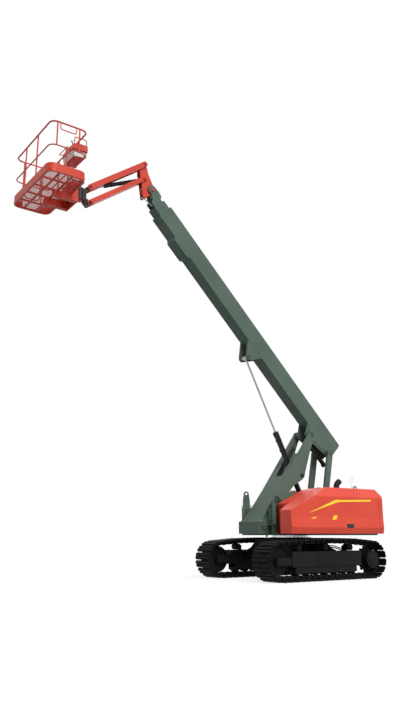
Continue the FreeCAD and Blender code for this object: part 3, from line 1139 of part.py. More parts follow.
def make_console():
    """The control box on the rear rail: body, sloped cover, hangers and guard bars."""
    x, z = f"{BACK} + {INSET}", FLOOR
    seat = f"{FLOOR} + {{rail_top}} - {{rail_radius}} - {{seat_gap}}"
    lid = f"{FLOOR} + {{rail_top}} - 105"
    body = prism("XZ", [(f"{x} - 130", f"{lid} - 255"), (f"{x} + 115", f"{lid} - 285"),
                        (f"{x} + 150", f"{lid} - 130"), (f"{x} - 130", f"{lid} - 120")],
                 "100", "560")
    cover = prism("XZ", [(f"{x} - 160", f"{lid} - 130"), (f"{x} + 165", f"{lid} - 140"),
                         (f"{x} + 150", f"{lid} - 50"), (f"{x} + 60", lid),
                         (f"{x} - 150", lid)], "110", "590")
    hangers = [box(f"{x} - 15", f"{x} + 15", f"{y} - 25", f"{y} + 25", f"{lid} - 5", seat)
               for y in ("180", "480")]
    bar = f"{FLOOR} + {{rail_top}} + {{rail_radius}} + 12"
    front, back, y = f"({x} + 120)", f"({x} - 135)", "565"
    hoop = [drum("Z", "10", f"{lid} - 40", f"{bar} - 40", front, y),
            drum("Z", "10", f"{lid} - 250", f"{bar} - 40", back, y),
            drum("X", "10", f"{back} + 40", f"{front} - 40", y, bar),
            upright_bend("40", "10", f"{front} - 40", y, f"{bar} - 40", 0),
            upright_bend("40", "10", f"{back} + 40", y, f"{bar} - 40", 1)]
    guard = [drum("Y", "9", "130", "500", f"{x} + 235", f"{lid} - 95")]
    guard += [drum("X", "9", f"{x} + 120", f"{x} + 240", y, f"{lid} - 95") for y in ("135", "495")]
    foot = drum("Z", "16", f"{lid} - 300", f"{lid} - 250", f"{x} - 100", "190")
    subpart(fuse([body, cover, foot] + hangers + hoop + guard), "control_console", PLATFORM)


# ---------------------------------------------------------------- build
make_carbody()
make_slew_ring()
for each in SIDES:
    make_track(each)
    make_track_frame(each)
    make_rollers(each)
    make_idler(each)
    make_sprocket(each)
subpart(make_turntable(), "turntable_frame", MACHINE)
for each in SIDES:
    make_inner_cover(each)
    make_hood(each)
make_counterweight()
make_engine()
make_tank()
make_exhaust()
make_beacon()
make_front_link()
make_rear_link()
make_lift_cylinder()
make_base_boom()
make_tail_cylinder()
make_mid_boom()
make_fly_boom()
make_jib_bracket()
small_cylinder("level_cylinder", LEVEL_PIVOT, LEVEL_EYE, "28", "13", "{level_barrel}",
               "{level_rod}", "32", "14")
make_jib_arm("jib_lower_arm", LOWER, "{lower_depth}", False, "{jib_length} - 130")
make_jib_arm("jib_upper_arm", UPPER, "{upper_depth}", True, "{jib_length} * 0.64")
small_cylinder("jib_cylinder", LOWER_PIN, (HEAD[0], plus(HEAD[1], "{jib_rise}")),
               "{jib_barrel_radius}", "{jib_rod_radius}", "{jib_barrel}", "{jib_rod}", "34",
               "{jib_pin}")
make_rotator()
make_support()
make_platform_frame()
make_platform_floor()
make_rails()
make_gate()
make_console()
DOC.recompute()

for thing in DOC.Objects:
    if "Invalid" in thing.State or "Error" in thing.State:
        raise RuntimeError(f"{thing.Name} {thing.Label} failed: {thing.State}")
for thing in SUBPARTS:
    if thing.Shape.isNull() or not thing.Shape.isValid():
        raise RuntimeError(f"{thing.Label} has no valid shape")

os.makedirs("parts", exist_ok=True)
for thing in SUBPARTS:
    thing.Shape.exportStep(f"parts/{thing.Label}.step")
    shape = thing.Shape
    print(f"{thing.Label:24s} solids {len(shape.Solids):2d}  volume {shape.Volume / 1e9:8.4f} m3")
print(len(SUBPARTS), "sub-parts")
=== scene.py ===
# %% [markdown]
# # A crawler boom lift
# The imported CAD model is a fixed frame: every part sits where the engineering model puts it.
# This lesson gives those parts real finishes and adds what CAD leaves out, such as track shoes,
# bolts, weld beads, hoses and controls. Lengths are metres, X is forward, Y is left, Z is up.

# %% Load the frame
import bpy
import bmesh
import json
import math
from mathutils import Matrix, Vector

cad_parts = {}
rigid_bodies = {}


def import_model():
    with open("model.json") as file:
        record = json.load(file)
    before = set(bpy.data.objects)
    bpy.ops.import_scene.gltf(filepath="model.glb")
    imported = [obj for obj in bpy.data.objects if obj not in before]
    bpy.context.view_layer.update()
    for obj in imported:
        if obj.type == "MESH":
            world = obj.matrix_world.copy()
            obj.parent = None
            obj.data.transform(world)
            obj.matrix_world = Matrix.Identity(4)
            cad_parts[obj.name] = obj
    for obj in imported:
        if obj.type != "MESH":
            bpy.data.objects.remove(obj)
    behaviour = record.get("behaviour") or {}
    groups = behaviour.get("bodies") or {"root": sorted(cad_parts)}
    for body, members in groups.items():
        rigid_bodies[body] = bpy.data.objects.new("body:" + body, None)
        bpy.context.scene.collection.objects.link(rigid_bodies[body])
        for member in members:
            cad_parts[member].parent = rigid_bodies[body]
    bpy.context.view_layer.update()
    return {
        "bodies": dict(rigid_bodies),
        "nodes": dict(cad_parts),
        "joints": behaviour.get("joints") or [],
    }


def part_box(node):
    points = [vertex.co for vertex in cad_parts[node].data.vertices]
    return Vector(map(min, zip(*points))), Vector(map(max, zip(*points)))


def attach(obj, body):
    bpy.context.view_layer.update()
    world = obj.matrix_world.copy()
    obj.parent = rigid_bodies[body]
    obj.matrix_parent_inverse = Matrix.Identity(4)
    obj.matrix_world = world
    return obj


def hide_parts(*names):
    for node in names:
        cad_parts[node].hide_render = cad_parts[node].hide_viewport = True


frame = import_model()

# %% [markdown]
# Joints carry the exact place of every pin, so the details are placed from them and from the
# boxes of the parts. A maker would call these the datum points of the machine.

# %% Datum points
FORWARD, LEFT, UP = Vector((1, 0, 0)), Vector((0, 1, 0)), Vector((0, 0, 1))
PINS = {joint["name"]: Vector(joint["pos_m"]) for joint in frame["joints"]
        if "pos_m" in joint}
ring_low, ring_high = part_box("slew_ring")
SLEW = (ring_low + ring_high) / 2
SIDES = {"left": 1, "right": -1}
GAUGE_HALF = sum(v.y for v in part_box("left_track")) / 2
EYES_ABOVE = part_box("left_hood")[1].z + 0.012
print("slew axis at", tuple(round(v, 3) for v in SLEW), "tracks at", round(GAUGE_HALF, 3))

# %% [markdown]
# The camera stands low in front of the left track and looks up, which makes the boom look as long
# as it is. An azimuth and an elevation describe the line of sight better than three coordinates.

# %% Camera
EYE = (8.493, 11.775, 0.93)
SIGHT_AZIMUTH, SIGHT_ELEVATION = 144.26, -14.73
FOCAL_MM = 35.36


def looking(azimuth, elevation):
    """The direction from the object back to an eye at this azimuth and elevation."""
    a, e = math.radians(azimuth), math.radians(elevation)
    return Vector((math.sin(a) * math.cos(e), -math.cos(a) * math.cos(e), math.sin(e)))


lens = bpy.data.cameras.new("viewer")
lens.lens = FOCAL_MM
lens.clip_end = 400
viewer = bpy.data.objects.new("viewer", lens)
viewer.location = EYE
viewer.rotation_mode = "QUATERNION"
viewer.rotation_quaternion = (-looking(SIGHT_AZIMUTH, SIGHT_ELEVATION)).to_track_quat(
    "-Z", "Y")
bpy.context.scene.collection.objects.link(viewer)
bpy.context.scene.camera = viewer
bpy.context.scene.view_settings.view_transform = "Standard"
print("camera", [round(v, 2) for v in viewer.location])

# %% [markdown]
# Two helpers do all the node work. One turns a colour as a designer writes it, in hex, into the
# linear numbers that a shader wants. The other adds a node and plugs its sockets, whatever its
# kind.

# %% Colour and node helpers
def shade(code):
    """A hex sRGB colour as a linear colour with alpha."""
    parts = [int(code[i:i + 2], 16) / 255 for i in (1, 3, 5)]
    return [p / 12.92 if p <= 0.04045 else ((p + 0.055) / 1.055) ** 2.4 for p in parts] + [1]


def add(tree, kind, inputs=None, **settings):
    """Adds a node, sets its settings, and links or fills its sockets by name or number."""
    made = tree.nodes.new(kind)
    for name, value in settings.items():
        setattr(made, name, value)
    for name, value in (inputs or {}).items():
        if isinstance(value, bpy.types.NodeSocket):
            tree.links.new(value, made.inputs[name])
        else:
            made.inputs[name].default_value = value
    return made


# %% [markdown]
# A studio for a big machine is a pale floor, a pale room, a broad lamp high on the machine's left
# and a weak one behind its right shoulder, so that shadows are soft and lie below the machine.
# The room fills them with a grey that is close to white, and only the rays of the camera, of
# mirrors and of glass see it as pure white.

# %% Room and lamps
ROOM_FILL, FLOOR_GLOW = 0.67, 0.8


def bright_for_eye(tree, lit, plain):
    """Shows one shader to the eye and to mirrors, and the other to everything else."""
    path = add(tree, "ShaderNodeLightPath")
    seen = path.outputs["Is Camera Ray"]
    for ray in ("Is Glossy Ray", "Is Transmission Ray"):
        seen = add(tree, "ShaderNodeMath", {0: seen, 1: path.outputs[ray]},
                   operation="MAXIMUM").outputs[0]
    return add(tree, "ShaderNodeMixShader", {0: seen, 1: plain, 2: lit})


room = bpy.data.worlds.new("studio_room")
bpy.context.scene.world = room
room.use_nodes = True
room.node_tree.nodes.clear()
glow = add(room.node_tree, "ShaderNodeBackground", {"Color": shade("#FFFFFF"), "Strength": 1})
fill = add(room.node_tree, "ShaderNodeBackground", {"Color": shade("#F4F7FA"),
                                                   "Strength": ROOM_FILL})
both = bright_for_eye(room.node_tree, glow.outputs[0], fill.outputs[0])
add(room.node_tree, "ShaderNodeOutputWorld", {"Surface": both.outputs[0]})


def sun(name, power, spread, towards):
    """A broad sun that stands in this direction, spread over this many degrees."""
    data = bpy.data.lights.new(name, "SUN")
    data.energy = power
    data.angle = math.radians(spread)
    made = bpy.data.objects.new(name, data)
    made.rotation_mode = "QUATERNION"
    made.rotation_quaternion = (-Vector(towards)).to_track_quat("-Z", "Y")
    bpy.context.scene.collection.objects.link(made)


sun("high_softbox", 2.3, 35, (0, 0.75, 0.66))
sun("rear_fill", 0.5, 50, (-0.6, -0.6, 0.5))
print("room and two lamps")

# %% [markdown]
# The floor is a sheet of matt paper just below the tracks, so that their ribs never share a plane
# with it. It takes the machine's shadow, and a little glow lifts it to white for the eye only.

# %% Floor
FLOOR_HALF, FLOOR_DROP = 90, 0.001
ground = bpy.data.meshes.new("studio_floor")
ground.from_pydata([(x * FLOOR_HALF, y * FLOOR_HALF, -FLOOR_DROP)
                    for x, y in ((-1, -1), (1, -1), (1, 1), (-1, 1))], [], [(0, 1, 2, 3)])
floor = bpy.data.objects.new("studio_floor", ground)
bpy.context.scene.collection.objects.link(floor)
sweep = bpy.data.materials.new("matt_paper_sweep")
sweep.use_nodes = True
sweep.node_tree.nodes.clear()
matt = add(sweep.node_tree, "ShaderNodeBsdfDiffuse", {"Color": shade("#7E7E7E")})
lift = add(sweep.node_tree, "ShaderNodeEmission", {"Color": shade("#FFFFFF"),
                                                "Strength": FLOOR_GLOW})
sum_up = add(sweep.node_tree, "ShaderNodeAddShader", {0: matt.outputs[0], 1: lift.outputs[0]})
choice = bright_for_eye(sweep.node_tree, sum_up.outputs[0], matt.outputs[0])
add(sweep.node_tree, "ShaderNodeOutputMaterial", {"Surface": choice.outputs[0]})
ground.materials.append(sweep)

# %% [markdown]
# Every finish on a machine drifts slowly in tone and has a grain that breaks up its gloss, so these
# two are recipes that all materials share. A Bevel node under the grain rounds each corner for
# the light, because CAD leaves corners knife sharp.

# %% Recipes that every finish shares
def begin(name):
    """An empty material with its tree and its object coordinates."""
    made = bpy.data.materials.new(name)
    made.use_nodes = True
    made.node_tree.nodes.clear()
    where = add(made.node_tree, "ShaderNodeTexCoord").outputs["Object"]
    return made, made.node_tree, where


def patches(tree, where, per_metre, detail, low, high, out_low=0.0, out_high=1.0):
    """Clouds with this many patches to a metre, stretched between two values."""
    noise = add(tree, "ShaderNodeTexNoise", {"Vector": where, "Scale": per_metre,
                                             "Detail": detail})
    return add(tree, "ShaderNodeMapRange",
               {"Value": noise.outputs["Fac"], "From Min": low, "From Max": high,
                "To Min": out_low, "To Max": out_high}).outputs[0]


def two_tones(tree, where, per_metre, tone, dark):
    """A colour that drifts slowly from one tone to a darker one."""
    share = patches(tree, where, per_metre, 5, 0.35, 0.7)
    return add(tree, "ShaderNodeMix", {"Factor": share, 6: shade(tone), 7: shade(dark)},
               data_type="RGBA").outputs[2]


def grained(tree, where, per_metre, detail, strength, depth, soft):
    """A normal with a grain of this depth in metres over corners rounded by soft."""
    noise = add(tree, "ShaderNodeTexNoise", {"Vector": where, "Scale": per_metre,
                                             "Detail": detail})
    rounding = add(tree, "ShaderNodeBevel", {"Radius": soft}, samples=4).outputs[0]
    bump = add(tree, "ShaderNodeBump", {"Strength": strength, "Distance": depth,
                                        "Normal": rounding, "Height": noise.outputs["Fac"]})
    return bump.outputs[0], rounding


def close(made, values):
    """Ends a material in one surface shader with these values."""
    body = add(made.node_tree, "ShaderNodeBsdfPrincipled", values)
    add(made.node_tree, "ShaderNodeOutputMaterial", {"Surface": body.outputs[0]})
    return made


# %% [markdown]
# Paint on steel has three tells: a slow drift in tone from hand spraying, a fine orange peel in
# the gloss, and corners where handling has thinned it. The angle between the rounded normal and
# the true one finds the corners to wear. Real peel is 1 to 3 mm across. Here it is 11 mm, which
# is as fine as shows from where one stands.

# %% Painted steel
def worn_corners(tree, where, rounding):
    """1 on corners that handling has rubbed, 0 elsewhere."""
    true = add(tree, "ShaderNodeNewGeometry").outputs["True Normal"]
    along = add(tree, "ShaderNodeVectorMath", {0: rounding, 1: true}, operation="DOT_PRODUCT")
    corner = add(tree, "ShaderNodeMapRange", {"Value": along.outputs["Value"],
                                              "From Min": 0.97, "From Max": 0.80}).outputs[0]
    patch = patches(tree, where, 9, 5, 0.47, 0.62)
    return add(tree, "ShaderNodeMath", {0: corner, 1: patch}, operation="MULTIPLY").outputs[0]


def painted(name, tone, dark, worn, gloss, radius=0.004, peel=0.0004, shine=0.5, marks=None):
    """Paint over steel: tone drift, orange peel, rounded and rubbed corners, and any marks."""
    made, tree, where = begin(name)
    normal, rounding = grained(tree, where, 90, 2, 0.35, peel, radius)
    colour = two_tones(tree, where, 1.3, tone, dark)
    if marks:
        colour = marks(tree, where, colour)
    colour = add(tree, "ShaderNodeMix", {"Factor": worn_corners(tree, where, rounding),
                                         6: colour, 7: shade(worn)}, data_type="RGBA").outputs[2]
    dull = patches(tree, where, 14, 4, 0.3, 0.75, gloss - 0.07, gloss + 0.12)
    return close(made, {"Base Color": colour, "Roughness": dull, "Specular IOR Level": shine,
                        "Normal": normal})


# %% [markdown]
# Each group of parts has its own paint. The lifting eyes above the weight are in the colour of the
# frame, though they are one part with the red casting, so height alone tells them apart.

# %% Paints of the machine
# Two-pack paint, sprayed by hand on big weldments: an even, rather dull satin.
boom_paint = painted("two_pack_grey_green", "#596A5F", "#506156", "#7C8982", 0.5, shine=0.2)
# Brushed enamel on the undercarriage: nearly matt, and rubbed to grey steel at the corners.
chassis_paint = painted("black_chassis_enamel", "#1B1B1B", "#151515", "#3C3A38", 0.55, shine=0.1)
# Powder coat on tubes and sheet: thick, with soft corners and a low gloss.
red_paint = painted("red_powder_coat", "#D6432D", "#C63A27", "#B97867", 0.42, radius=0.003,
                    shine=0.3)
# The same coat in black on cylinders and the rotator.
black_coat = painted("black_powder_coat", "#1C1D1E", "#151617", "#444546", 0.45, radius=0.002,
                     shine=0.3)


def lifting_eye_marks(tree, where, colour):
    """The lifting eyes above the weight keep the grey-green of the frame."""
    split = add(tree, "ShaderNodeSeparateXYZ", {0: where})
    above = add(tree, "ShaderNodeMath", {0: split.outputs["Z"], 1: EYES_ABOVE},
                operation="GREATER_THAN").outputs[0]
    return add(tree, "ShaderNodeMix", {"Factor": above, 6: colour, 7: shade("#5C6C62")},
               data_type="RGBA").outputs[2]


# Paint over a rough iron casting: the widest round corners and the deepest peel.
weight_paint = painted("red_two_pack_on_iron", "#DD4A34", "#D04331", "#A8685C", 0.34,
                       radius=0.012, peel=0.0008, shine=0.3, marks=lifting_eye_marks)
print("paints made")

# %% [markdown]
# The hoods carry a yellow flash: a stripe that climbs from the front and runs level to the back,
# and a shorter dash below it. Both are printed film, so they are colour only. Their middle lines
# are worked out from the length along the hood, in metres, and on the shorter far hood they
# start further back.

# %% Hood paint with its yellow flashes
FAR_HOOD_SETBACK, FILM_FRONT, FILM_OUTSIDE = 0.45, -1.40, 0.95
# Each film: its start, bend and end as (along, height), its width at the start and at the bend.
FILMS = (((0.50, 1.360), (-0.25, 1.597), (-0.30, 1.604), 0.006, 0.064),
         ((-0.25, 1.604), (-0.45, 1.612), (-1.37, 1.642), 0.058, 0.038),
         ((0.492, 1.238), (0.348, 1.256), (0.34, 1.257), 0.006, 0.030),
         ((-0.16, 1.262), (-0.20, 1.264), (-0.275, 1.267), 0.083, 0.083))


def one_film(tree, along, height, film):
    """1 on one tapering stripe whose ends are cut on a slant."""
    start, bend, end, width_start, width_bend = film
    rise = add(tree, "ShaderNodeMapRange",
               {"Value": along, "From Min": start[0], "From Max": bend[0],
                "To Min": start[1], "To Max": bend[1]}).outputs[0]
    level = add(tree, "ShaderNodeMapRange",
                {"Value": along, "From Min": bend[0], "From Max": end[0],
                 "To Min": 0, "To Max": end[1] - bend[1]}).outputs[0]
    middle = add(tree, "ShaderNodeMath", {0: rise, 1: level}, operation="ADD").outputs[0]
    gap = add(tree, "ShaderNodeMath", {0: height, 1: middle}, operation="SUBTRACT").outputs[0]
    slant = add(tree, "ShaderNodeMath", {0: gap, 1: 0.6, 2: along},
                operation="MULTIPLY_ADD").outputs[0]
    gap = add(tree, "ShaderNodeMath", {0: gap}, operation="ABSOLUTE").outputs[0]
    half = add(tree, "ShaderNodeMapRange",
               {"Value": along, "From Min": start[0], "From Max": bend[0],
                "To Min": width_start / 2, "To Max": width_bend / 2}).outputs[0]
    inside = add(tree, "ShaderNodeMath", {0: gap, 1: half}, operation="LESS_THAN").outputs[0]
    for limit, test in ((start[0], "LESS_THAN"), (end[0], "GREATER_THAN")):
        within = add(tree, "ShaderNodeMath", {0: slant, 1: limit}, operation=test)
        inside = add(tree, "ShaderNodeMath", {0: inside, 1: within.outputs[0]},
                     operation="MULTIPLY").outputs[0]
    return inside


def flash_marks(tree, where, colour):
    """Tapering yellow stripes on the outer sides of the hoods."""
    split = add(tree, "ShaderNodeSeparateXYZ", {0: where})
    along = add(tree, "ShaderNodeMath", {0: split.outputs["X"], 1: SLEW.x},
                operation="SUBTRACT").outputs[0]
    behind_front = add(tree, "ShaderNodeMath", {0: along, 1: FILM_FRONT},
                       operation="GREATER_THAN").outputs[0]
    far = add(tree, "ShaderNodeMath", {0: split.outputs["Y"], 1: 0.0}, operation="LESS_THAN")
    along = add(tree, "ShaderNodeMath", {0: far.outputs[0], 1: FAR_HOOD_SETBACK, 2: along},
                operation="MULTIPLY_ADD").outputs[0]
    aside = add(tree, "ShaderNodeMath", {0: split.outputs["Y"]}, operation="ABSOLUTE").outputs[0]
    outside = add(tree, "ShaderNodeMath", {0: aside, 1: FILM_OUTSIDE},
                  operation="GREATER_THAN").outputs[0]
    mask = add(tree, "ShaderNodeMath", {0: outside, 1: behind_front},
               operation="MULTIPLY").outputs[0]
    films = [one_film(tree, along, split.outputs["Z"], film) for film in FILMS]
    shown = films[0]
    for film in films[1:]:
        shown = add(tree, "ShaderNodeMath", {0: shown, 1: film}, operation="MAXIMUM").outputs[0]
    mask = add(tree, "ShaderNodeMath", {0: mask, 1: shown}, operation="MULTIPLY").outputs[0]
    return add(tree, "ShaderNodeMix", {"Factor": mask, 6: colour, 7: shade("#FFD92E")},
               data_type="RGBA").outputs[2]


# Glossy paint on pressed panels: hardly any peel, with the film on it.
hood_paint = painted("gloss_red_hood_with_film", "#E04B35", "#D4412D", "#B96A5C", 0.38,
                     radius=0.01, peel=0.0002, shine=0.35, marks=flash_marks)

# %% [markdown]
# Bare metals: chromed rods are smooth and fairly bright, the turned ring is the brightest, zinc
# plate is dull, and castings keep the grain of their sand mould. Real grain is finer than a
# millimetre and would not show on so big a machine, so it is drawn 3 to 8 mm coarse.

# %% Metals
def bare_metal(name, tone, dark, rough, grain):
    """Metal with a fine grain in its surface."""
    made, tree, where = begin(name)
    dull = patches(tree, where, 22, 4, 0.3, 0.75, rough - 0.06, rough + 0.14)
    return close(made, {"Base Color": two_tones(tree, where, 5, tone, dark), "Roughness": dull,
                        "Metallic": 1.0,
                        "Normal": grained(tree, where, grain, 4, 0.5, 0.0006, 0.002)[0]})


chrome = bare_metal("hard_chromed_rod", "#9EA1A3", "#8C8F92", 0.2, 300)
turned_steel = bare_metal("turned_ring_steel", "#E2E4E6", "#D0D3D6", 0.16, 160)
zinc = bare_metal("zinc_plated_steel", "#A9ABA8", "#8E918F", 0.38, 220)
cast_alloy = bare_metal("sand_cast_alloy", "#9A9C9E", "#808386", 0.5, 120)
# Hot exhaust iron: matt black with brown where the scale has worn.
scale_iron = painted("heat_blackened_iron", "#171615", "#1F1B18", "#4A3D34", 0.62, shine=0.2)
# Rolled shoes, painted once and worn by the ground: matt, with a coarse rolled skin.
shoe_steel = painted("rolled_shoe_steel", "#191918", "#121212", "#3C3936", 0.55, radius=0.004,
                     peel=0.0015, shine=0.08)
print("metals made")

# %% [markdown]
# Plastics and rubber: moulded parts are even in tone with a spark-eroded grain, drawn 4 mm coarse
# so that it shows, hoses are matt, the rotomoulded tank has a coarser skin, and the beacon lens is
# clear polycarbonate, a solid that bends light.

# %% Plastics, rubber and lens
def moulded(name, tone, rough, grain=260, depth=0.0003):
    """Moulded plastic or rubber with a fine grain and a slightly paler cloud in it."""
    made, tree, where = begin(name)
    base = shade(tone)
    pale = [min(1, c * 1.18 + 0.004) for c in base[:3]] + [1]
    cloud = add(tree, "ShaderNodeTexNoise", {"Vector": where, "Scale": 6, "Detail": 4})
    colour = add(tree, "ShaderNodeMix", {"Factor": cloud.outputs["Fac"], 6: base, 7: pale},
                 data_type="RGBA").outputs[2]
    dull = patches(tree, where, 30, 3, 0.3, 0.7, rough - 0.05, rough + 0.08)
    return close(made, {"Base Color": colour, "Roughness": dull, "IOR": 1.47,
                        "Normal": grained(tree, where, grain, 2, 0.6, depth, 0.0015)[0]})


hose_rubber = moulded("braided_hose_rubber", "#1C1C1D", 0.62)
black_plastic = moulded("black_moulded_nylon", "#1B1C1E", 0.45)
tank_plastic = moulded("rotomoulded_polyethylene", "#2A2B2C", 0.5, 120, 0.0006)
panel_plastic = moulded("pale_grey_panel_plastic", "#C9CCCC", 0.4)
red_plastic = moulded("red_moulded_plastic", "#D8402C", 0.34)
yellow_plastic = moulded("yellow_moulded_plastic", "#F2C81E", 0.36)

lens_clear, lens_tree, lens_where = begin("clear_polycarbonate")
lens_grain = add(lens_tree, "ShaderNodeTexNoise", {"Vector": lens_where, "Scale": 120,
                                                   "Detail": 2})
lens_bump = add(lens_tree, "ShaderNodeBump", {"Strength": 0.3, "Distance": 0.0004,
                                              "Height": lens_grain.outputs["Fac"]})
close(lens_clear, {"Base Color": shade("#F4F6F4"), "Roughness": 0.05, "IOR": 1.58,
                   "Transmission Weight": 1.0, "Normal": lens_bump.outputs[0]})
print("plastics, rubber and lens made")

# %% [markdown]
# Each CAD part takes a finish. A part keeps its own mesh, because its shape is already right.

# %% Finishes of the CAD parts
FINISHES = {
    boom_paint: "turntable_frame front_link rear_link base_boom mid_boom fly_boom",
    chassis_paint: "carbody left_track_frame right_track_frame left_sprocket right_sprocket",
    shoe_steel: "left_track right_track left_rollers right_rollers left_idler right_idler",
    turned_steel: "slew_ring",
    hood_paint: "left_hood right_hood left_inner_cover right_inner_cover",
    weight_paint: "counterweight",
    cast_alloy: "engine_block",
    tank_plastic: "tank_block",
    scale_iron: "exhaust",
    lens_clear: "beacon",
    black_coat: "lift_cylinder_barrel tail_cylinder level_cylinder_barrel jib_cylinder_barrel"
                " rotator",
    chrome: "lift_cylinder_rod level_cylinder_rod jib_cylinder_rod",
    red_paint: "jib_bracket jib_lower_arm jib_upper_arm platform_support platform_frame"
               " platform_rails gate platform_floor control_console",
}
for finish, names in FINISHES.items():
    for name in names.split():
        for slot in frame["nodes"][name].material_slots:
            slot.material = finish
print("finished", sum(len(names.split()) for names in FINISHES.values()), "CAD parts of",
      len(frame["nodes"]))

# %% [markdown]
# Pieces are drawn in a workbench mesh with four tools: a plate cut to an outline, a block with
# eased edges, a lathe and a bent bar. `done` turns the bench into a named piece that rides on a
# body.

# %% Mesh tools
def settle(bench, fresh, place):
    """Moves fresh vertices to their place and turns their faces outwards."""
    bmesh.ops.transform(bench, matrix=place, verts=fresh)
    faces = list({face for vertex in fresh for face in vertex.link_faces})
    bmesh.ops.recalc_face_normals(bench, faces=faces)
    return fresh


def plate(bench, outline, thick, place, soft=0.0, steps=1):
    """A flat outline in local X and Z, thick in local Y and centred, with eased edges."""
    count = len(outline)
    sides = [[bench.verts.new((x, y, z)) for x, z in outline] for y in (-thick / 2, thick / 2)]
    bench.faces.new(sides[0])
    bench.faces.new(sides[1][::-1])
    for k in range(count):
        j = (k + 1) % count
        bench.faces.new((sides[0][j], sides[0][k], sides[1][k], sides[1][j]))
    fresh = sides[0] + sides[1]
    if soft:
        edges = list({edge for vertex in fresh for edge in vertex.link_edges})
        cut = bmesh.ops.bevel(bench, geom=edges, offset=soft, segments=steps, affect="EDGES",
                              profile=0.6, clamp_overlap=True)
        fresh = list({v for face in cut["faces"] for v in face.verts}
                     | {v for v in fresh if v.is_valid})
        fresh = grown(fresh)
    return settle(bench, fresh, place)


def grown(seed):
    """All vertices joined to the seed."""
    seen, front = set(seed), list(seed)
    while front:
        for edge in front.pop().link_edges:
            for vertex in edge.verts:
                if vertex not in seen:
                    seen.add(vertex)
                    front.append(vertex)
    return list(seen)


def rectangle(wide, high):
    """The outline of a rectangle round its middle."""
    x, z = wide / 2, high / 2
    return [(-x, -z), (x, -z), (x, z), (-x, z)]


def block(bench, size, place, soft=0.002, steps=1):
    """A box of this size with eased edges, centred on its place."""
    return plate(bench, rectangle(size[0], size[2]), size[1], place, soft, steps)


def lathe(bench, profile, place, sides=24, hollow=False):
    """Turns a profile of (radius, height) round local Z. Radius 0 closes an end."""
    rings = []
    for radius, height in profile:
        if radius < 1e-6:
            rings.append([bench.verts.new((0, 0, height))])
        else:
            rings.append([bench.verts.new((radius * math.cos(2 * math.pi * k / sides),
                                           radius * math.sin(2 * math.pi * k / sides), height))
                          for k in range(sides)])
    pairs = list(zip(rings, rings[1:])) + ([(rings[-1], rings[0])] if hollow else [])
    for low, high in pairs:
        for k in range(sides):
            j = (k + 1) % sides
            corners = [low[k % len(low)], low[j % len(low)], high[j % len(high)],
                       high[k % len(high)]]
            corners = [c for n, c in enumerate(corners) if c not in corners[:n]]
            if len(corners) > 2:
                bench.faces.new(corners)
    return settle(bench, [v for ring in rings for v in ring], place)


def rounded(points, radius, steps=5, closed=False):
    """A run of points with its corners turned into arcs."""
    points = [Vector(p) for p in points]
    count, path = len(points), []
    for k, corner in enumerate(points):
        if not closed and k in (0, count - 1):
            path.append(corner)
            continue
        before, after = points[k - 1] - corner, points[(k + 1) % count] - corner
        reach = min(radius, before.length * 0.49, after.length * 0.49)
        first, last = corner + before.normalized() * reach, corner + after.normalized() * reach
        for s in range(steps + 1):
            t = s / steps
            path.append(first * (1 - t) ** 2 + corner * 2 * t * (1 - t) + last * t ** 2)
    return path


def bar(bench, points, radius, place=None, sides=10, closed=False):
    """A round bar, pipe or hose along points."""
    place = place or Matrix.Identity(4)
    points = [Vector(p) for p in points]
    count, rings = len(points), []
    side = None
    for k, point in enumerate(points):
        if closed:
            run = points[(k + 1) % count] - points[k - 1]
        else:
            run = points[min(k + 1, count - 1)] - points[max(k - 1, 0)]
        run.normalize()
        if side is None:
            side = run.orthogonal()
        side = (side - run * side.dot(run)).normalized()
        up = run.cross(side)
        rings.append([bench.verts.new(point + radius * (
            side * math.cos(2 * math.pi * s / sides) + up * math.sin(2 * math.pi * s / sides)))
            for s in range(sides)])
    for k in range(count if closed else count - 1):
        low, high = rings[k], rings[(k + 1) % count]
        for s in range(sides):
            t = (s + 1) % sides
            bench.faces.new((low[s], low[t], high[t], high[s]))
    if not closed:
        bench.faces.new(rings[0][::-1])
        bench.faces.new(rings[-1])
    return settle(bench, [v for ring in rings for v in ring], place)


PIECES = {}


def plain_object(name, mesh, finish, crease=38):
    """Links a mesh as an object with one finish and smooth curved faces."""
    mesh.name = name
    mesh.materials.clear()
    mesh.materials.append(finish)
    mesh.shade_smooth()
    mesh.set_sharp_from_angle(angle=math.radians(crease))
    piece = bpy.data.objects.new(name, mesh)
    bpy.context.scene.collection.objects.link(piece)
    return piece


def carried(piece, body):
    """Hands a finished piece to its body."""
    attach(piece, body)
    PIECES[piece.name] = len(piece.data.polygons)
    return piece


def done(bench, name, finish, body):
    """Turns the bench into a piece that rides on a body."""
    mesh = bpy.data.meshes.new(name)
    bench.to_mesh(mesh)
    bench.free()
    return carried(plain_object(name, mesh, finish), body)


# %% [markdown]
# Things that repeat come from Geometry Nodes. A tree is built once with named inputs, used
# through a modifier, and then turned into a plain mesh so that nothing live is left on the piece.

# %% Geometry Nodes tools
def grow_tree(name, inputs):
    """A geometry tree with its group input, its output and these named sockets."""
    tree = bpy.data.node_groups.new(name, "GeometryNodeTree")
    tree.interface.new_socket("Geometry", in_out="INPUT", socket_type="NodeSocketGeometry")
    for label, kind in inputs.items():
        tree.interface.new_socket(label, in_out="INPUT", socket_type="NodeSocket" + kind)
    tree.interface.new_socket("Geometry", in_out="OUTPUT", socket_type="NodeSocketGeometry")
    return tree, add(tree, "NodeGroupInput").outputs


def close_tree(tree, geometry, finish):
    """Realizes the instances, sets their material and ends the tree."""
    real = add(tree, "GeometryNodeRealizeInstances", {0: geometry})
    coated = add(tree, "GeometryNodeSetMaterial", {"Geometry": real.outputs[0],
                                                   "Material": finish})
    add(tree, "NodeGroupOutput", {0: coated.outputs[0]})


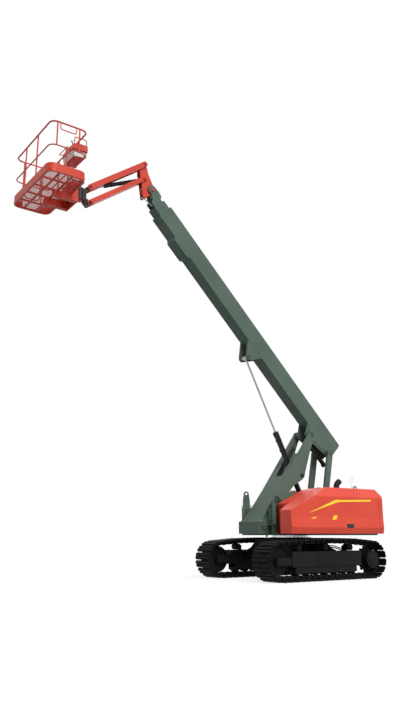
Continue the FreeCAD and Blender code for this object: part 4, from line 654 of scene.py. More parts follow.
def grow(base, tree, values):
    """Runs a tree on an object and returns the result as a plain mesh."""
    run = base.modifiers.new("grow", "NODES")
    run.node_group = tree
    for item in tree.interface.items_tree:
        if item.item_type == "SOCKET" and item.in_out == "INPUT" and item.name in values:
            run[item.identifier] = values[item.name]
    base.update_tag()
    bpy.context.view_layer.update()
    graph = bpy.context.evaluated_depsgraph_get()
    mesh = bpy.data.meshes.new_from_object(base.evaluated_get(graph))
    base.modifiers.remove(run)
    bpy.data.objects.remove(base)
    return mesh


def seed_object(name, points, edges=()):
    """A mesh of points and edges for a tree to work on."""
    mesh = bpy.data.meshes.new(name)
    mesh.from_pydata([tuple(p) for p in points], list(edges), [])
    seed = bpy.data.objects.new(name, mesh)
    bpy.context.scene.collection.objects.link(seed)
    return seed


# %% [markdown]
# A track is a chain of equal shoes: a ribbed steel plate bolted to a pair of forged links, with a
# bushing between them. One shoe is modelled, and a tree lays it along the loop of the CAD track,
# turned to the run of the loop at each step.

# %% One track shoe
SHOE_COUNT, SHOE_WIDE, SHOE_THICK, SHOE_LIFT = 46, 0.54, 0.018, 0.044
CORNER_CUT, LINK_DEEP, LINK_OUT = 0.03, 0.072, 0.075
AXLE_Z, WHEEL_BASE, END_RADIUS = 0.395, 2.64, 0.395
# Carrier rollers hold the upper run a little above the wheels.
TOP_RUN = ((0.75, 0.836), (0.0, 0.85), (-0.75, 0.836))


def loop_points(depth, steps=24):
    """The loop of a track, seen from the left, at a depth below the tips of the ribs."""
    half, radius = WHEEL_BASE / 2, END_RADIUS - depth
    front = [(half + radius * math.sin(math.pi * k / steps),
              AXLE_Z - radius * math.cos(math.pi * k / steps)) for k in range(steps + 1)]
    rear = [(-x, 2 * AXLE_Z - z) for x, z in front]
    return front + [(x, z - depth) for x, z in TOP_RUN] + rear


def loop_length(points):
    """The length of a closed run of points."""
    return sum(math.dist(a, b) for a, b in zip(points, points[1:] + points[:1]))


def make_shoe():
    """A shoe in a frame with X along the track, Z outwards and Z = 0 on top of the links."""
    bench = bmesh.new()
    pitch = loop_length(loop_points(SHOE_LIFT)) / SHOE_COUNT
    half, wide = pitch / 2 - 0.004, SHOE_WIDE / 2
    cut = CORNER_CUT
    outline = [(-half, -wide + cut), (-half + cut, -wide), (half - cut, -wide),
               (half, -wide + cut), (half, wide - cut), (half - cut, wide), (-half + cut, wide),
               (-half, wide - cut)]
    quarter = Matrix.Rotation(math.radians(90), 4, "X")
    plate(bench, outline, SHOE_THICK, Matrix.Translation((0, 0, SHOE_THICK / 2)) @ quarter, 0.003)
    for x, tall in ((-0.034, 0.042), (0.034, 0.044)):
        rib = [(x - 0.025, 0.014), (x + 0.025, 0.014), (x + 0.020, tall), (x - 0.020, tall)]
        plate(bench, rib, SHOE_WIDE - 0.04, Matrix.Identity(4), 0.004)
    link = [(-half - 0.02, -0.020), (-half + 0.012, -0.060), (-0.02, -LINK_DEEP),
            (0.04, -LINK_DEEP), (half + 0.012, -0.060), (half + 0.020, -0.022), (half - 0.01, 0),
            (-half + 0.01, 0)]
    for y in (-LINK_OUT, LINK_OUT):
        plate(bench, link, 0.036, Matrix.Translation((0, y, 0)), 0.004)
    lathe(bench, [(0, -0.112), (0.017, -0.112), (0.020, -0.108), (0.020, 0.108),
                  (0.017, 0.112), (0, 0.112)], Matrix.Translation((half, 0, -0.040)) @ quarter, 12)
    for x in (-0.066, 0.0, 0.066):
        for y in (-LINK_OUT, LINK_OUT):
            lathe(bench, [(0.010, 0.016), (0.009, 0.026), (0, 0.026)],
                  Matrix.Translation((x, y, 0)), 6)
    mesh = bpy.data.meshes.new("shoe_pattern")
    bench.to_mesh(mesh)
    bench.free()
    mesh.shade_smooth()
    mesh.set_sharp_from_angle(angle=math.radians(30))
    made = bpy.data.objects.new("shoe_pattern", mesh)
    bpy.context.scene.collection.objects.link(made)
    print("shoe", len(mesh.polygons), "faces, pitch", round(pitch * 1000, 1), "mm")
    return made


# %% [markdown]
# Each loop is a ring of edges. The tree makes it a curve, spaces the shoes evenly on it and turns
# each to the run of the curve, as the pins do on the real chain.

# %% The shoes along their loop
def chain_tree(finish):
    """Lays a pattern along a loop in the XZ plane."""
    tree, given = grow_tree("shoes_along_loop", {"Count": "Int", "Shoe": "Object"})
    curve = add(tree, "GeometryNodeMeshToCurve", {0: given["Geometry"]})
    even = add(tree, "GeometryNodeResampleCurve", {"Curve": curve.outputs[0],
                                                   "Count": given["Count"]})
    shoe = add(tree, "GeometryNodeObjectInfo", {"Object": given["Shoe"]})
    run = add(tree, "GeometryNodeInputTangent").outputs[0]
    turn = add(tree, "FunctionNodeAlignRotationToVector", {"Vector": run}, axis="X",
               pivot_axis="Y")
    laid = add(tree, "GeometryNodeInstanceOnPoints",
               {"Points": even.outputs[0], "Instance": shoe.outputs["Geometry"],
                "Rotation": turn.outputs[0]})
    close_tree(tree, laid.outputs[0], finish)
    return tree


def make_chains():
    """One chain of shoes on each side, in place of the plain CAD track."""
    shoe, tree = make_shoe(), chain_tree(shoe_steel)
    for side, sign in SIDES.items():
        # Run the loop backwards along the ground, so that local Z of a shoe points outwards.
        loop = loop_points(SHOE_LIFT)[::-1]
        points = [(SLEW.x + x, sign * GAUGE_HALF, z) for x, z in loop]
        edges = [(k, (k + 1) % len(points)) for k in range(len(points))]
        seed = seed_object(side + "_loop", points, edges)
        mesh = grow(seed, tree, {"Count": SHOE_COUNT, "Shoe": shoe})
        piece = plain_object(side + "_shoes_and_links", mesh, shoe_steel, 30)
        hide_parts(side + "_track")
        carried(piece, "undercarriage")
        print(side, "chain", len(mesh.polygons), "faces")
    bpy.data.objects.remove(shoe)


make_chains()

# %% [markdown]
# Screws and bolts are the same shape at many places, so one tree puts a hexagon head on a washer
# at every point of a list. Each point carries its own facing and its own size as attributes.

# %% Bolts anywhere
def bolt_tree(finish):
    """Hexagon heads on washers, facing and sized by attributes of the points."""
    tree, given = grow_tree("hexagon_bolts", {"Head Height": "Float"})
    head = add(tree, "GeometryNodeMeshCylinder", {"Vertices": 6, "Radius": 1.0,
                                                  "Depth": given["Head Height"]})
    half = add(tree, "ShaderNodeMath", {0: given["Head Height"], 1: 0.5},
               operation="MULTIPLY").outputs[0]
    lift = add(tree, "ShaderNodeCombineXYZ", {"Z": half})
    head = add(tree, "GeometryNodeTransform", {"Geometry": head.outputs["Mesh"],
                                               "Translation": lift.outputs[0]})
    washer = add(tree, "GeometryNodeMeshCylinder", {"Vertices": 16, "Radius": 1.35,
                                                    "Depth": 0.36})
    both = add(tree, "GeometryNodeJoinGeometry")
    tree.links.new(head.outputs[0], both.inputs[0])
    tree.links.new(washer.outputs["Mesh"], both.inputs[0])
    facing = add(tree, "GeometryNodeInputNamedAttribute", {"Name": "facing"},
                 data_type="FLOAT_VECTOR").outputs[0]
    size = add(tree, "GeometryNodeInputNamedAttribute", {"Name": "size"}, data_type="FLOAT")
    turn = add(tree, "FunctionNodeAlignRotationToVector", {"Vector": facing}, axis="Z")
    laid = add(tree, "GeometryNodeInstanceOnPoints",
               {"Points": given["Geometry"], "Instance": both.outputs[0],
                "Rotation": turn.outputs[0], "Scale": size.outputs[0]})
    close_tree(tree, laid.outputs[0], finish)
    return tree


BOLT_TREES, HEAD_HEIGHT = {}, 0.75


def bolts(name, body, spots, finish=zinc):
    """Bolts from a list of (place, facing, radius of the head)."""
    if finish.name not in BOLT_TREES:
        BOLT_TREES[finish.name] = bolt_tree(finish)
    seed = seed_object(name + "_spots", [spot[0] for spot in spots])
    facing = seed.data.attributes.new("facing", "FLOAT_VECTOR", "POINT")
    facing.data.foreach_set("vector", [c for spot in spots for c in Vector(spot[1])])
    size = seed.data.attributes.new("size", "FLOAT", "POINT")
    size.data.foreach_set("value", [spot[2] for spot in spots])
    mesh = grow(seed, BOLT_TREES[finish.name], {"Head Height": HEAD_HEIGHT})
    return carried(plain_object(name, mesh, finish, 25), body)


def circle_spots(centre, facing, radius, count, size, start=0.0):
    """Bolt places evenly round a circle that faces along an axis."""
    facing = Vector(facing).normalized()
    side = facing.orthogonal().normalized()
    up = facing.cross(side)
    return [(Vector(centre) + radius * (side * math.cos(a) + up * math.sin(a)), facing, size)
            for a in (start + 2 * math.pi * k / count for k in range(count))]


# %% [markdown]
# The floor of the platform is expanded metal: a sheet that is slit and stretched into diamonds,
# so that one can see and rain can fall through it. A tree lays a slanted grid, trims it to the
# tray and gives each strand a thin section.

# %% Expanded metal floor
MESH_PITCH, STRAND_RADIUS, TRAY_GAP = 0.024, 0.0030, 0.01


def lattice_tree(finish):
    """A diamond lattice trimmed to a rectangle, as strands."""
    tree, given = grow_tree("expanded_metal", {"Length": "Float", "Width": "Float",
                                               "Pitch": "Float", "Strand": "Float"})
    longest = add(tree, "ShaderNodeMath", {0: given["Width"], 1: 1.5},
                  operation="MULTIPLY").outputs[0]
    cells = add(tree, "ShaderNodeMath", {0: longest, 1: given["Pitch"]},
                operation="DIVIDE").outputs[0]
    sheet = add(tree, "GeometryNodeMeshGrid", {"Size X": longest, "Size Y": longest,
                                               "Vertices X": cells, "Vertices Y": cells})
    turned = add(tree, "GeometryNodeTransform", {"Geometry": sheet.outputs["Mesh"],
                                                 "Rotation": (0, 0, math.radians(45))})
    squeezed = add(tree, "GeometryNodeTransform", {"Geometry": turned.outputs[0],
                                                   "Scale": (0.55, 1.0, 1.0)})
    spot = add(tree, "GeometryNodeInputPosition").outputs[0]
    split = add(tree, "ShaderNodeSeparateXYZ", {0: spot})
    outside = None
    for axis, label in (("X", "Length"), ("Y", "Width")):
        far = add(tree, "ShaderNodeMath", {0: split.outputs[axis]}, operation="ABSOLUTE")
        half = add(tree, "ShaderNodeMath", {0: given[label], 1: 0.5}, operation="MULTIPLY")
        past = add(tree, "FunctionNodeCompare", {0: far.outputs[0], 1: half.outputs[0]},
                   data_type="FLOAT", operation="GREATER_THAN").outputs[0]
        outside = past if outside is None else add(
            tree, "FunctionNodeBooleanMath", {0: outside, 1: past}, operation="OR").outputs[0]
    trimmed = add(tree, "GeometryNodeDeleteGeometry", {"Geometry": squeezed.outputs[0],
                                                       "Selection": outside})
    lines = add(tree, "GeometryNodeMeshToCurve", {0: trimmed.outputs[0]})
    section = add(tree, "GeometryNodeCurvePrimitiveCircle", {"Resolution": 4,
                                                             "Radius": given["Strand"]},
                  mode="RADIUS")
    strands = add(tree, "GeometryNodeCurveToMesh", {"Curve": lines.outputs[0],
                                                    "Profile Curve": section.outputs[0]})
    close_tree(tree, strands.outputs[0], finish)
    return tree


floor_low, floor_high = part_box("platform_floor")
floor_middle, floor_size = (floor_low + floor_high) / 2, floor_high - floor_low
seed = seed_object("floor_seed", [(0, 0, 0)])
mesh = grow(seed, lattice_tree(red_paint),
            {"Length": floor_size.x - 2 * TRAY_GAP, "Width": floor_size.y - 2 * TRAY_GAP,
             "Pitch": MESH_PITCH, "Strand": STRAND_RADIUS})
mesh.transform(Matrix.Translation(floor_middle))
lattice = plain_object("expanded_metal_floor", mesh, red_paint)
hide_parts("platform_floor")
carried(lattice, "platform")
print("lattice", len(mesh.polygons), "faces")

# %% [markdown]
# Details must sit exactly on the CAD skin, so a probe finds it: a ray from outside is shot at a
# part and says where it lands. Screws and weld beads are collected per body and made together.

# %% Probe, screws and weld beads
bpy.context.view_layer.update()
BODY_OF = {name: body for body, empty in frame["bodies"].items()
           for name, node in frame["nodes"].items() if node.parent is empty}
GREEN, RED = (boom_paint, "green_paint"), (red_paint, "red_paint")
BLACK, BARE = (black_coat, "black_paint"), (zinc, "bare_steel")
ROLE = {"undercarriage": (chassis_paint, "black_paint"), "rotator": BLACK, "lift_barrel": BLACK}
for body in ("turntable", "front_link", "rear_link", "boom", "mid_boom", "fly_boom"):
    ROLE[body] = GREEN
for body in ("jib_bracket", "jib_lower_arm", "jib_upper_arm", "platform"):
    ROLE[body] = RED
SCREWS, BEADS = {}, {}


def here(x, y, z):
    """A point of the machine measured from the slew axis."""
    return Vector((SLEW.x + x, y, z))


def skin(names, place, facing):
    """Where a ray that runs against the facing meets the first of these CAD parts."""
    facing, best = Vector(facing).normalized(), None
    start = Vector(place) + facing * 3
    for name in names.split():
        node = frame["nodes"][name]
        back = node.matrix_world.inverted()
        hit, spot, _, _ = node.ray_cast(back @ start, (back.to_3x3() @ -facing).normalized())
        if hit:
            spot = node.matrix_world @ spot
            if best is None or (spot - start).length < (best[0] - start).length:
                best = (spot, name)
    assert best, ("nothing to land on", names, tuple(place))
    return best


def fix(body, spot, facing, size):
    """A screw of a body at a place that is already known."""
    SCREWS.setdefault(body, []).append((spot, Vector(facing), size))


def screw(names, place, facing, size):
    """A screw on the skin of a CAD part."""
    spot, name = skin(names, place, facing)
    fix(BODY_OF[name], spot, facing, size)


def screw_ring(names, centre, facing, radius, count, size, start=0.0):
    """A ring of screws on the skin of a CAD part."""
    for place, way, _ in circle_spots(centre, facing, radius, count, size, start):
        screw(names, place, way, size)


def bead(body, points, radius=0.004, closed=False):
    """A weld bead along points, in steps of 12 mm."""
    points = [Vector(p) for p in points]
    if closed:
        points.append(points[0])
    for first, last in zip(points, points[1:]):
        count = max(2, min(160, round((last - first).length / 0.012)))
        run = [first.lerp(last, k / count) for k in range(count + 1)]
        BEADS.setdefault(body, []).append((run, radius))


def facing_place(place, facing, roll=0.0):
    """A place whose local Z looks along the facing."""
    turn = Vector(facing).to_track_quat("Z", "Y").to_matrix().to_4x4()
    return Matrix.Translation(place) @ turn @ Matrix.Rotation(math.radians(roll), 4, "Z")


def directions(origin, axis):
    """A function that places (along, y, over) in the directions of an axis in the XZ plane."""
    over = axis.cross(LEFT)
    return lambda u, y, n: origin + axis * u + Vector((0, y, 0)) + over * n


def turned_along(axis):
    """A turn that lays local X along an axis in the XZ plane."""
    return Matrix((axis, LEFT, axis.cross(LEFT))).transposed().to_4x4()


# %% [markdown]
# Each big pin ends in a turned face with a grease nipple, and a keeper plate with two screws
# stops it from creeping out. The boom is drawn in its own directions: along it, and over it.

# %% Pins with their keepers
boom_axis = next(Vector(j["axis"]) for j in frame["joints"] if j["name"] == "boom_telescope")
boom_up = boom_axis.cross(LEFT)
boom = directions(PINS["boom_lift"], boom_axis)
PINS["lift_eye"] = boom(2.370, 0, -0.082)
# Each pin: its joint, the parts that it ends in, its radius and the way to its keeper.
PIN_ENDS = (("front_link_foot", "turntable_frame front_link", 0.045, (1, 0, 0.2)),
            ("boom_lift", "base_boom front_link", 0.040, (0.3, 0, 1)),
            ("rear_link_top", "base_boom rear_link", 0.035, (-0.5, 0, 1)),
            ("lift_cylinder_trunnion", "front_link lift_cylinder_barrel", 0.035, (-1, 0, 0.5)),
            ("jib_bracket_pivot", "fly_boom jib_bracket", 0.030, (-0.7, 0, -0.7)),
            ("jib_lift", "jib_bracket jib_lower_arm", 0.028, (-0.4, 0, -1)),
            ("upper_arm_pivot", "jib_bracket jib_upper_arm", 0.028, (-0.4, 0, 1)),
            ("jib_head_pivot", "rotator jib_lower_arm", 0.028, (-0.6, 0, -1)),
            ("lift_eye", "base_boom", 0.030, (0, 0, 1)))
benches = {}
for joint, names, radius, way in PIN_ENDS:
    way = Vector(way).normalized()
    across = way.cross(LEFT)
    turn = Matrix((across, LEFT, way)).transposed().to_4x4()
    for sign in (1, -1):
        spot, name = skin(names, PINS[joint], (0, sign, 0))
        bench = benches.setdefault(BODY_OF[name], bmesh.new())
        lathe(bench, [(0, 0), (radius, 0), (radius, 0.003), (radius * 0.9, 0.006),
                      (radius * 0.3, 0.006), (radius * 0.26, 0.0045), (0.0065, 0.0045),
                      (0.0065, 0.010), (0.003, 0.011), (0.0045, 0.014), (0, 0.016)],
              facing_place(spot, (0, sign, 0)), 28)
        keep = spot + way * radius * 0.92
        plate(bench, rectangle(radius * 2.5, 0.022), 0.006,
              Matrix.Translation(keep + Vector((0, sign * 0.009, 0))) @ turn, 0.0015)
        for end in (-1, 1):
            fix(BODY_OF[name], keep + across * end * radius * 0.95 + Vector((0, sign * 0.012, 0)),
                (0, sign, 0), 0.0062)
        print(joint, sign, name, round(spot.y, 3))
for body, bench in benches.items():
    finish, slot_name = ROLE.get(body, BARE)
    done(bench, body + "_pin_ends", finish, body)

# %% [markdown]
# The running gear is bolted together: a ring of screws on each drive hub, caps on the rollers,
# a cover over the track tensioner, and a hose pair from the centre frame to each travel motor.

# %% Running gear
ROLLER_PITCH, ROLLER_Z, HUB_SCREWS, RING_SCREWS = 0.27, 0.145, 16, 30
FRAME_SIDE = 1.125
# Each cover on a track frame: its place along and up, its width and its height.
COVERS = ((0.10, 0.43, 0.34, 0.15), (0.72, 0.44, 0.20, 0.11))
for side, sign in SIDES.items():
    out = (0, sign, 0)
    hub = here(-WHEEL_BASE / 2, 0, AXLE_Z)
    hub_face = skin(side + "_sprocket", hub, out)[0]
    bench = bmesh.new()
    lathe(bench, [(0, 0), (0.135, 0), (0.135, 0.006), (0.120, 0.014), (0.040, 0.018), (0, 0.018)],
          facing_place(hub_face, out), 40)
    idler_face = skin(side + "_idler " + side + "_track_frame", here(WHEEL_BASE / 2, 0, AXLE_Z),
                      out)[0]
    lathe(bench, [(0, 0), (0.045, 0), (0.045, 0.008), (0.030, 0.013), (0, 0.013)],
          facing_place(idler_face, out), 28)
    for k in range(-3, 4):
        face = skin(side + "_rollers", here(ROLLER_PITCH * k, 0, ROLLER_Z), out)[0]
        lathe(bench, [(0, 0), (0.030, 0), (0.030, 0.004), (0.022, 0.010), (0, 0.010)],
              facing_place(face, out), 20)
    done(bench, side + "_hub_and_roller_caps", chassis_paint, "undercarriage")
    screw_ring(side + "_sprocket", hub, out, 0.158, HUB_SCREWS, 0.0105)
    bench = bmesh.new()
    for x, z, wide, high in COVERS:
        face = skin(side + "_track_frame", here(x, 0, z), out)[0]
        plate(bench, rectangle(wide, high), 0.006,
              Matrix.Translation(face + Vector((0, sign * 0.003, 0))), 0.0015)
        for dx in (-1, -0.33, 0.33, 1) if wide > 0.3 else (-1, 1):
            for dz in (-1, 1):
                fix("undercarriage", face + Vector((dx * (wide / 2 - 0.02), sign * 0.006,
                                                    dz * (high / 2 - 0.02))), out, 0.008)
    done(bench, side + "_tensioner_covers", chassis_paint, "undercarriage")
    bench = bmesh.new()
    for lift in (-0.018, 0.018):
        run = [here(x, sign * y, z + lift) for x, y, z in (
            (-0.62, 0.34, 0.64), (-0.86, 0.40, 0.67), (-1.10, 0.55, 0.58), (-1.26, 0.70, 0.46),
            (-1.30, 0.80, 0.42))]
        bar(bench, rounded(run, 0.14), 0.0125, sides=10)
    done(bench, side + "_travel_hoses", hose_rubber, "undercarriage")
    bead("undercarriage", [here(x, sign * FRAME_SIDE, 0.58) for x in (-1.0, 0.96)])
screw_ring("carbody", here(0, 0, 0), UP, 0.432, RING_SCREWS, 0.0105)
print("running gear screws", len(SCREWS["undercarriage"]))

# %% [markdown]
# Telescoping sections slide on nylon pads. Each pad is held by four screws on either side of the
# tip, and the collar of the tip is welded on all round.

# %% Wear pads and boom welds
BOOM_MIDDLE, BASE_SIDE, BASE_TIP = 0.375, 0.150, 5.9
for names, body, u, tip, half_y, half_w in (
        ("base_boom", "boom", 5.955, 5.93, BASE_SIDE, 0.1975),
        ("mid_boom", "mid_boom", 6.165, 6.125, 0.128, 0.160)):
    for sign in (1, -1):
        for du in (0, 0.06):
            for dw in (-0.6, -0.2, 0.2, 0.6):
                screw(names, boom(u + du, 0, BOOM_MIDDLE + dw * half_w), (0, sign, 0), 0.0085)
    for du in (0, 0.06):
        for dy in (-0.6, 0, 0.6):
            for way in (boom_up, -boom_up):
                screw(names, boom(u + du, dy * half_y, BOOM_MIDDLE), way, 0.0085)
    y, w = half_y + 0.001, half_w + 0.001
    bead(body, [boom(tip, a * y, BOOM_MIDDLE + b * w)
                for a, b in ((-1, -1), (1, -1), (1, 1), (-1, 1))], 0.0045, closed=True)
# The heel of the boom is doubled by a plate with a round edge, welded on all along it.
DOUBLER_EDGE = ((-0.117, 0.384), (-0.268, 0.451), (-0.410, 0.488), (-0.529, 0.498),
                (-0.607, 0.480), (-0.671, 0.437), (-0.708, 0.328))
for side in (BASE_SIDE, -BASE_SIDE):
    bead("boom", rounded([boom(u, side, w) for u, w in DOUBLER_EDGE], 0.05, 3), 0.005)
    for start, w in ((-0.3, 0.1815), (-0.8, 0.5685)):
        bead("boom", [boom(start, side, w), boom(BASE_TIP, side, w)], 0.0035)

# %% [markdown]
# A cylinder gets what a fitter sees on it: a ring nut at the mouth, port blocks at both ends and
# a steel pipe held by clamps. One recipe serves all three, in the directions of each cylinder.

# %% Cylinder pipes and ring nuts
def cylinder_fittings(name, joint, slide, tail, mouth, tube, side_y, over):
    """Ring nut, ports, pipe and clamps on a cylinder barrel."""
    axis = next(Vector(j["axis"]) for j in frame["joints"] if j["name"] == slide)
    spot = directions(PINS[joint], axis)
    bench = bmesh.new()
    lathe(bench, [(tube * 0.55, 0), (tube * 0.92, 0), (tube * 0.95, 0.004), (tube * 0.95, 0.012),
                  (tube * 0.55, 0.014)], facing_place(spot(mouth, 0, 0), axis), 32, hollow=True)
    reach = tube + 0.016
    far = spot(0, side_y * reach, over * reach) - spot(0, 0, 0)
    for u in (tail + 0.06, mouth - 0.05):
        lathe(bench, [(0, 0), (0.016, 0), (0.016, 0.020), (0.012, 0.024), (0, 0.024)],
              facing_place(spot(u, 0, 0) + far * ((tube - 0.002) / reach), far), 6)
    run = [spot(tail + 0.06, 0, 0) + far, spot(tail + 0.10, 0, 0) + far * 1.05,
           spot(mouth - 0.10, 0, 0) + far * 1.05, spot(mouth - 0.05, 0, 0) + far]
    bar(bench, rounded(run, 0.03), 0.008, sides=12)
    for share in (0.3, 0.55, 0.8):
        clamp = spot(tail + (mouth - tail) * share, 0, 0)
        ring = [(tube + 0.0005, -0.012), (tube + 0.004, -0.012), (tube + 0.004, 0.012),
                (tube + 0.0005, 0.012)]
        lathe(bench, ring, facing_place(clamp, axis), 32, hollow=True)
        place = facing_place(clamp + far * 1.03, axis)
        lathe(bench, [(0.0085, -0.010), (0.013, -0.010), (0.013, 0.010), (0.0085, 0.010)],
              place, 14, hollow=True)
    done(bench, name + "_pipe_and_nut", black_coat, name)


# Each cylinder: its body, pivot, slide, both ends of the barrel, its radius and the pipe's side.
for fitting in (
        ("lift_barrel", "lift_cylinder_trunnion", "lift_rod_slide", 0.12, 1.08, 0.068, 1, 0),
        ("jib_barrel", "jib_cylinder_pivot", "jib_rod_slide", 0.14, 1.0, 0.040, 0.94, 0.34),
        ("level_barrel", "level_cylinder_pivot", "level_rod_slide", 0.05, 0.44, 0.040, 0, 1)):
    cylinder_fittings(*fitting)

# %% [markdown]
# Hoses rise from the deck beside the near lifting lug and turn back down to the foot of the link.
# Another bundle is clipped to the inside of the link, and a third to the far side of the jib.

# %% Hoses
DECK_TOP, LOOP_Y = 0.94, 0.366
bench = bmesh.new()
for dx, top in ((0.0, 1.72), (0.032, 1.64), (0.062, 1.55)):
    run = [here(x, LOOP_Y, z) for x, z in (
        (0.80 - dx, DECK_TOP), (0.81 - dx, top - 0.20), (0.74 - dx * 0.8, top),
        (0.60 + dx * 0.2, top - 0.04), (0.53 + dx, top - 0.34), (0.50 + dx, DECK_TOP))]
    bar(bench, rounded(run, 0.12, 7), 0.0115, sides=12)
done(bench, "deck_hose_loops", hose_rubber, "turntable")


def clipped_bundle(name, body, start, end, runs, radius, clip_size, clips):
    """Hoses along a beam between two pins: runs of (along, y, over), and clips along them."""
    axis = (end - start).normalized()
    spot = directions(start, axis)
    bench = bmesh.new()
    for run in runs:
        bar(bench, rounded([spot(*point) for point in run], 0.2), radius, sides=12)
    for point in clips:
        block(bench, clip_size, Matrix.Translation(spot(*point)) @ turned_along(axis), 0.001)
    done(bench, name, hose_rubber, body)


clipped_bundle("link_hoses", "front_link", PINS["front_link_foot"], PINS["boom_lift"],
               [((0.28, -0.203, n), (1.2, -0.205, n + 0.004), (1.9, -0.204, n - 0.003),
                 (2.28, -0.203, n)) for n in (0.02, 0.052, 0.084)], 0.0125,
               (0.022, 0.006, 0.110),
               [(u, -0.2215, 0.052) for u in (0.42, 0.85, 1.28, 1.71, 2.14)])
clipped_bundle("jib_hoses", "jib_lower_arm", PINS["jib_lift"], PINS["jib_head_pivot"],
               [((0.10, -0.1095, n), (0.5, -0.110, n + 0.002), (1.1, -0.1095, n - 0.002),
                 (1.46, -0.1095, n)) for n in (-0.016, 0.016)], 0.0085,
               (0.018, 0.003, 0.066), [(u, -0.1195, 0) for u in (0.2, 0.6, 1.0, 1.38)])

# %% [markdown]
# Each hood has a flush latch in a black bezel low on its side.

# %% Hood latches
LATCH_X, LATCH_Z = -0.66, 1.094
# Each plate: width, height, thickness, how far out, its shift along and up, its edge and steps.
LATCH_PLATES = ((0.222, 0.084, 0.006, 0.001, 0, 0, 0.002, 2),
                (0.206, 0.008, 0.006, 0.006, 0, -0.034, 0.002, 1),
                (0.206, 0.008, 0.006, 0.006, 0, 0.034, 0.002, 1),
                (0.100, 0.046, 0.008, 0.006, -0.035, 0, 0.002, 2),
                (0.030, 0.030, 0.010, 0.006, 0.060, 0, 0.004, 2))
for side, sign in SIDES.items():
    spot = skin(side + "_hood", here(LATCH_X, 0, LATCH_Z), (0, sign, 0))[0]
    bench = bmesh.new()
    for wide, high, thick, out, dx, dz, soft, steps in LATCH_PLATES:
        plate(bench, rectangle(wide, high), thick,
              Matrix.Translation(spot + Vector((dx, sign * out, dz))), soft, steps)
    done(bench, side + "_hood_latch", black_plastic, side + "_hood")

# %% [markdown]
# Under the far hood stands the engine: a ribbed rocker cover, a manifold, a fan with its belt,
# a filter and an alternator. Under the near hood is the tank with its straps and sight tube.

# %% Engine covers and alternator
ENGINE_Y, HEAD_TOP, MANIFOLD_Y, MANIFOLD_TOP = -0.76, 1.836, -0.515, 1.70
FAN_Z, ALTERNATOR_Y, ALTERNATOR_Z = 1.24, -0.58, 1.46
bench = bmesh.new()
block(bench, (0.58, 0.26, 0.075), Matrix.Translation(here(-0.93, ENGINE_Y, 1.797)), 0.02, 3)
for k in range(9):
    block(bench, (0.012, 0.22, 0.012),
          Matrix.Translation(here(-1.17 + 0.06 * k, ENGINE_Y, HEAD_TOP)), 0.003)
lathe(bench, [(0, 0), (0.034, 0), (0.036, 0.004), (0.036, 0.022), (0.030, 0.028), (0, 0.028)],
      facing_place(here(-1.02, -0.70, 1.838), UP), 12)
bar(bench, rounded([here(x, MANIFOLD_Y, z) for x, z in (
    (-1.24, 1.66), (-1.20, MANIFOLD_TOP), (-0.68, MANIFOLD_TOP), (-0.62, 1.66))], 0.04), 0.030,
    sides=18)
for k in range(4):
    x = -1.14 + 0.14 * k
    bar(bench, rounded([here(x, MANIFOLD_Y, MANIFOLD_TOP), here(x, -0.53, 1.73),
                        here(x, -0.575, 1.73)], 0.02), 0.020, sides=14)
lathe(bench, [(0, 0), (0.052, 0), (0.066, 0.02), (0.066, 0.11), (0.052, 0.13), (0, 0.13)],
      facing_place(here(-0.43, ALTERNATOR_Y, ALTERNATOR_Z), FORWARD), 28)
for k in range(12):
    a = 2 * math.pi * k / 12
    fin = here(-0.302, ALTERNATOR_Y + 0.045 * math.cos(a), ALTERNATOR_Z + 0.045 * math.sin(a))
    block(bench, (0.008, 0.010, 0.018), facing_place(fin, FORWARD, math.degrees(a)), 0.001)
done(bench, "engine_covers_and_alternator", cast_alloy, "turntable")

# %% [markdown]
# The fan is a hub with seven twisted blades. A belt joins its pulley to a smaller one below, and
# the alternator's pulley beside them has the same section.

# %% Fan and belt
BELT_X = -0.402
BLADE = [(0.04, -0.028), (0.22, -0.055), (0.245, -0.01), (0.235, 0.045), (0.04, 0.028)]
bench = bmesh.new()
fan_at = here(-0.36, ENGINE_Y, FAN_Z)
lathe(bench, [(0, -0.05), (0.05, -0.05), (0.05, 0), (0.035, 0.012), (0, 0.012)],
      facing_place(fan_at, FORWARD), 24)
for k in range(7):
    turn = (Matrix.Rotation(2 * math.pi * k / 7, 4, "X")
            @ Matrix.Rotation(math.radians(90), 4, "Z") @ Matrix.Rotation(math.radians(28), 4, "X"))
    plate(bench, BLADE, 0.004, Matrix.Translation(fan_at + Vector((-0.018, 0, 0))) @ turn, 0.001)
for x, y, z, radius in ((BELT_X, ENGINE_Y, FAN_Z, 0.075),
                        (-0.30, ALTERNATOR_Y, ALTERNATOR_Z, 0.036),
                        (BELT_X, -0.90, 1.10, 0.060)):
    lathe(bench, [(radius * 0.6, -0.014), (radius, -0.014), (radius * 0.86, 0), (radius, 0.014),
                  (radius * 0.6, 0.014)], facing_place(here(x, y, z), FORWARD), 32, hollow=True)
belt = [here(BELT_X, y, z) for y, z in ((ENGINE_Y - 0.03, FAN_Z + 0.07), (-0.70, 1.20),
                                       (-0.88, 1.045), (-0.965, 1.08))]
bar(bench, rounded(belt, 0.05, 6, closed=True), 0.008, sides=8, closed=True)
done(bench, "engine_fan_and_belt", black_plastic, "turntable")

# %% [markdown]
# A spin-on filter hangs from its bracket on the outer side, a wide hose runs down behind the block,
# and two thin hoses loop down its side. Screws hold the rocker cover and the block's side.

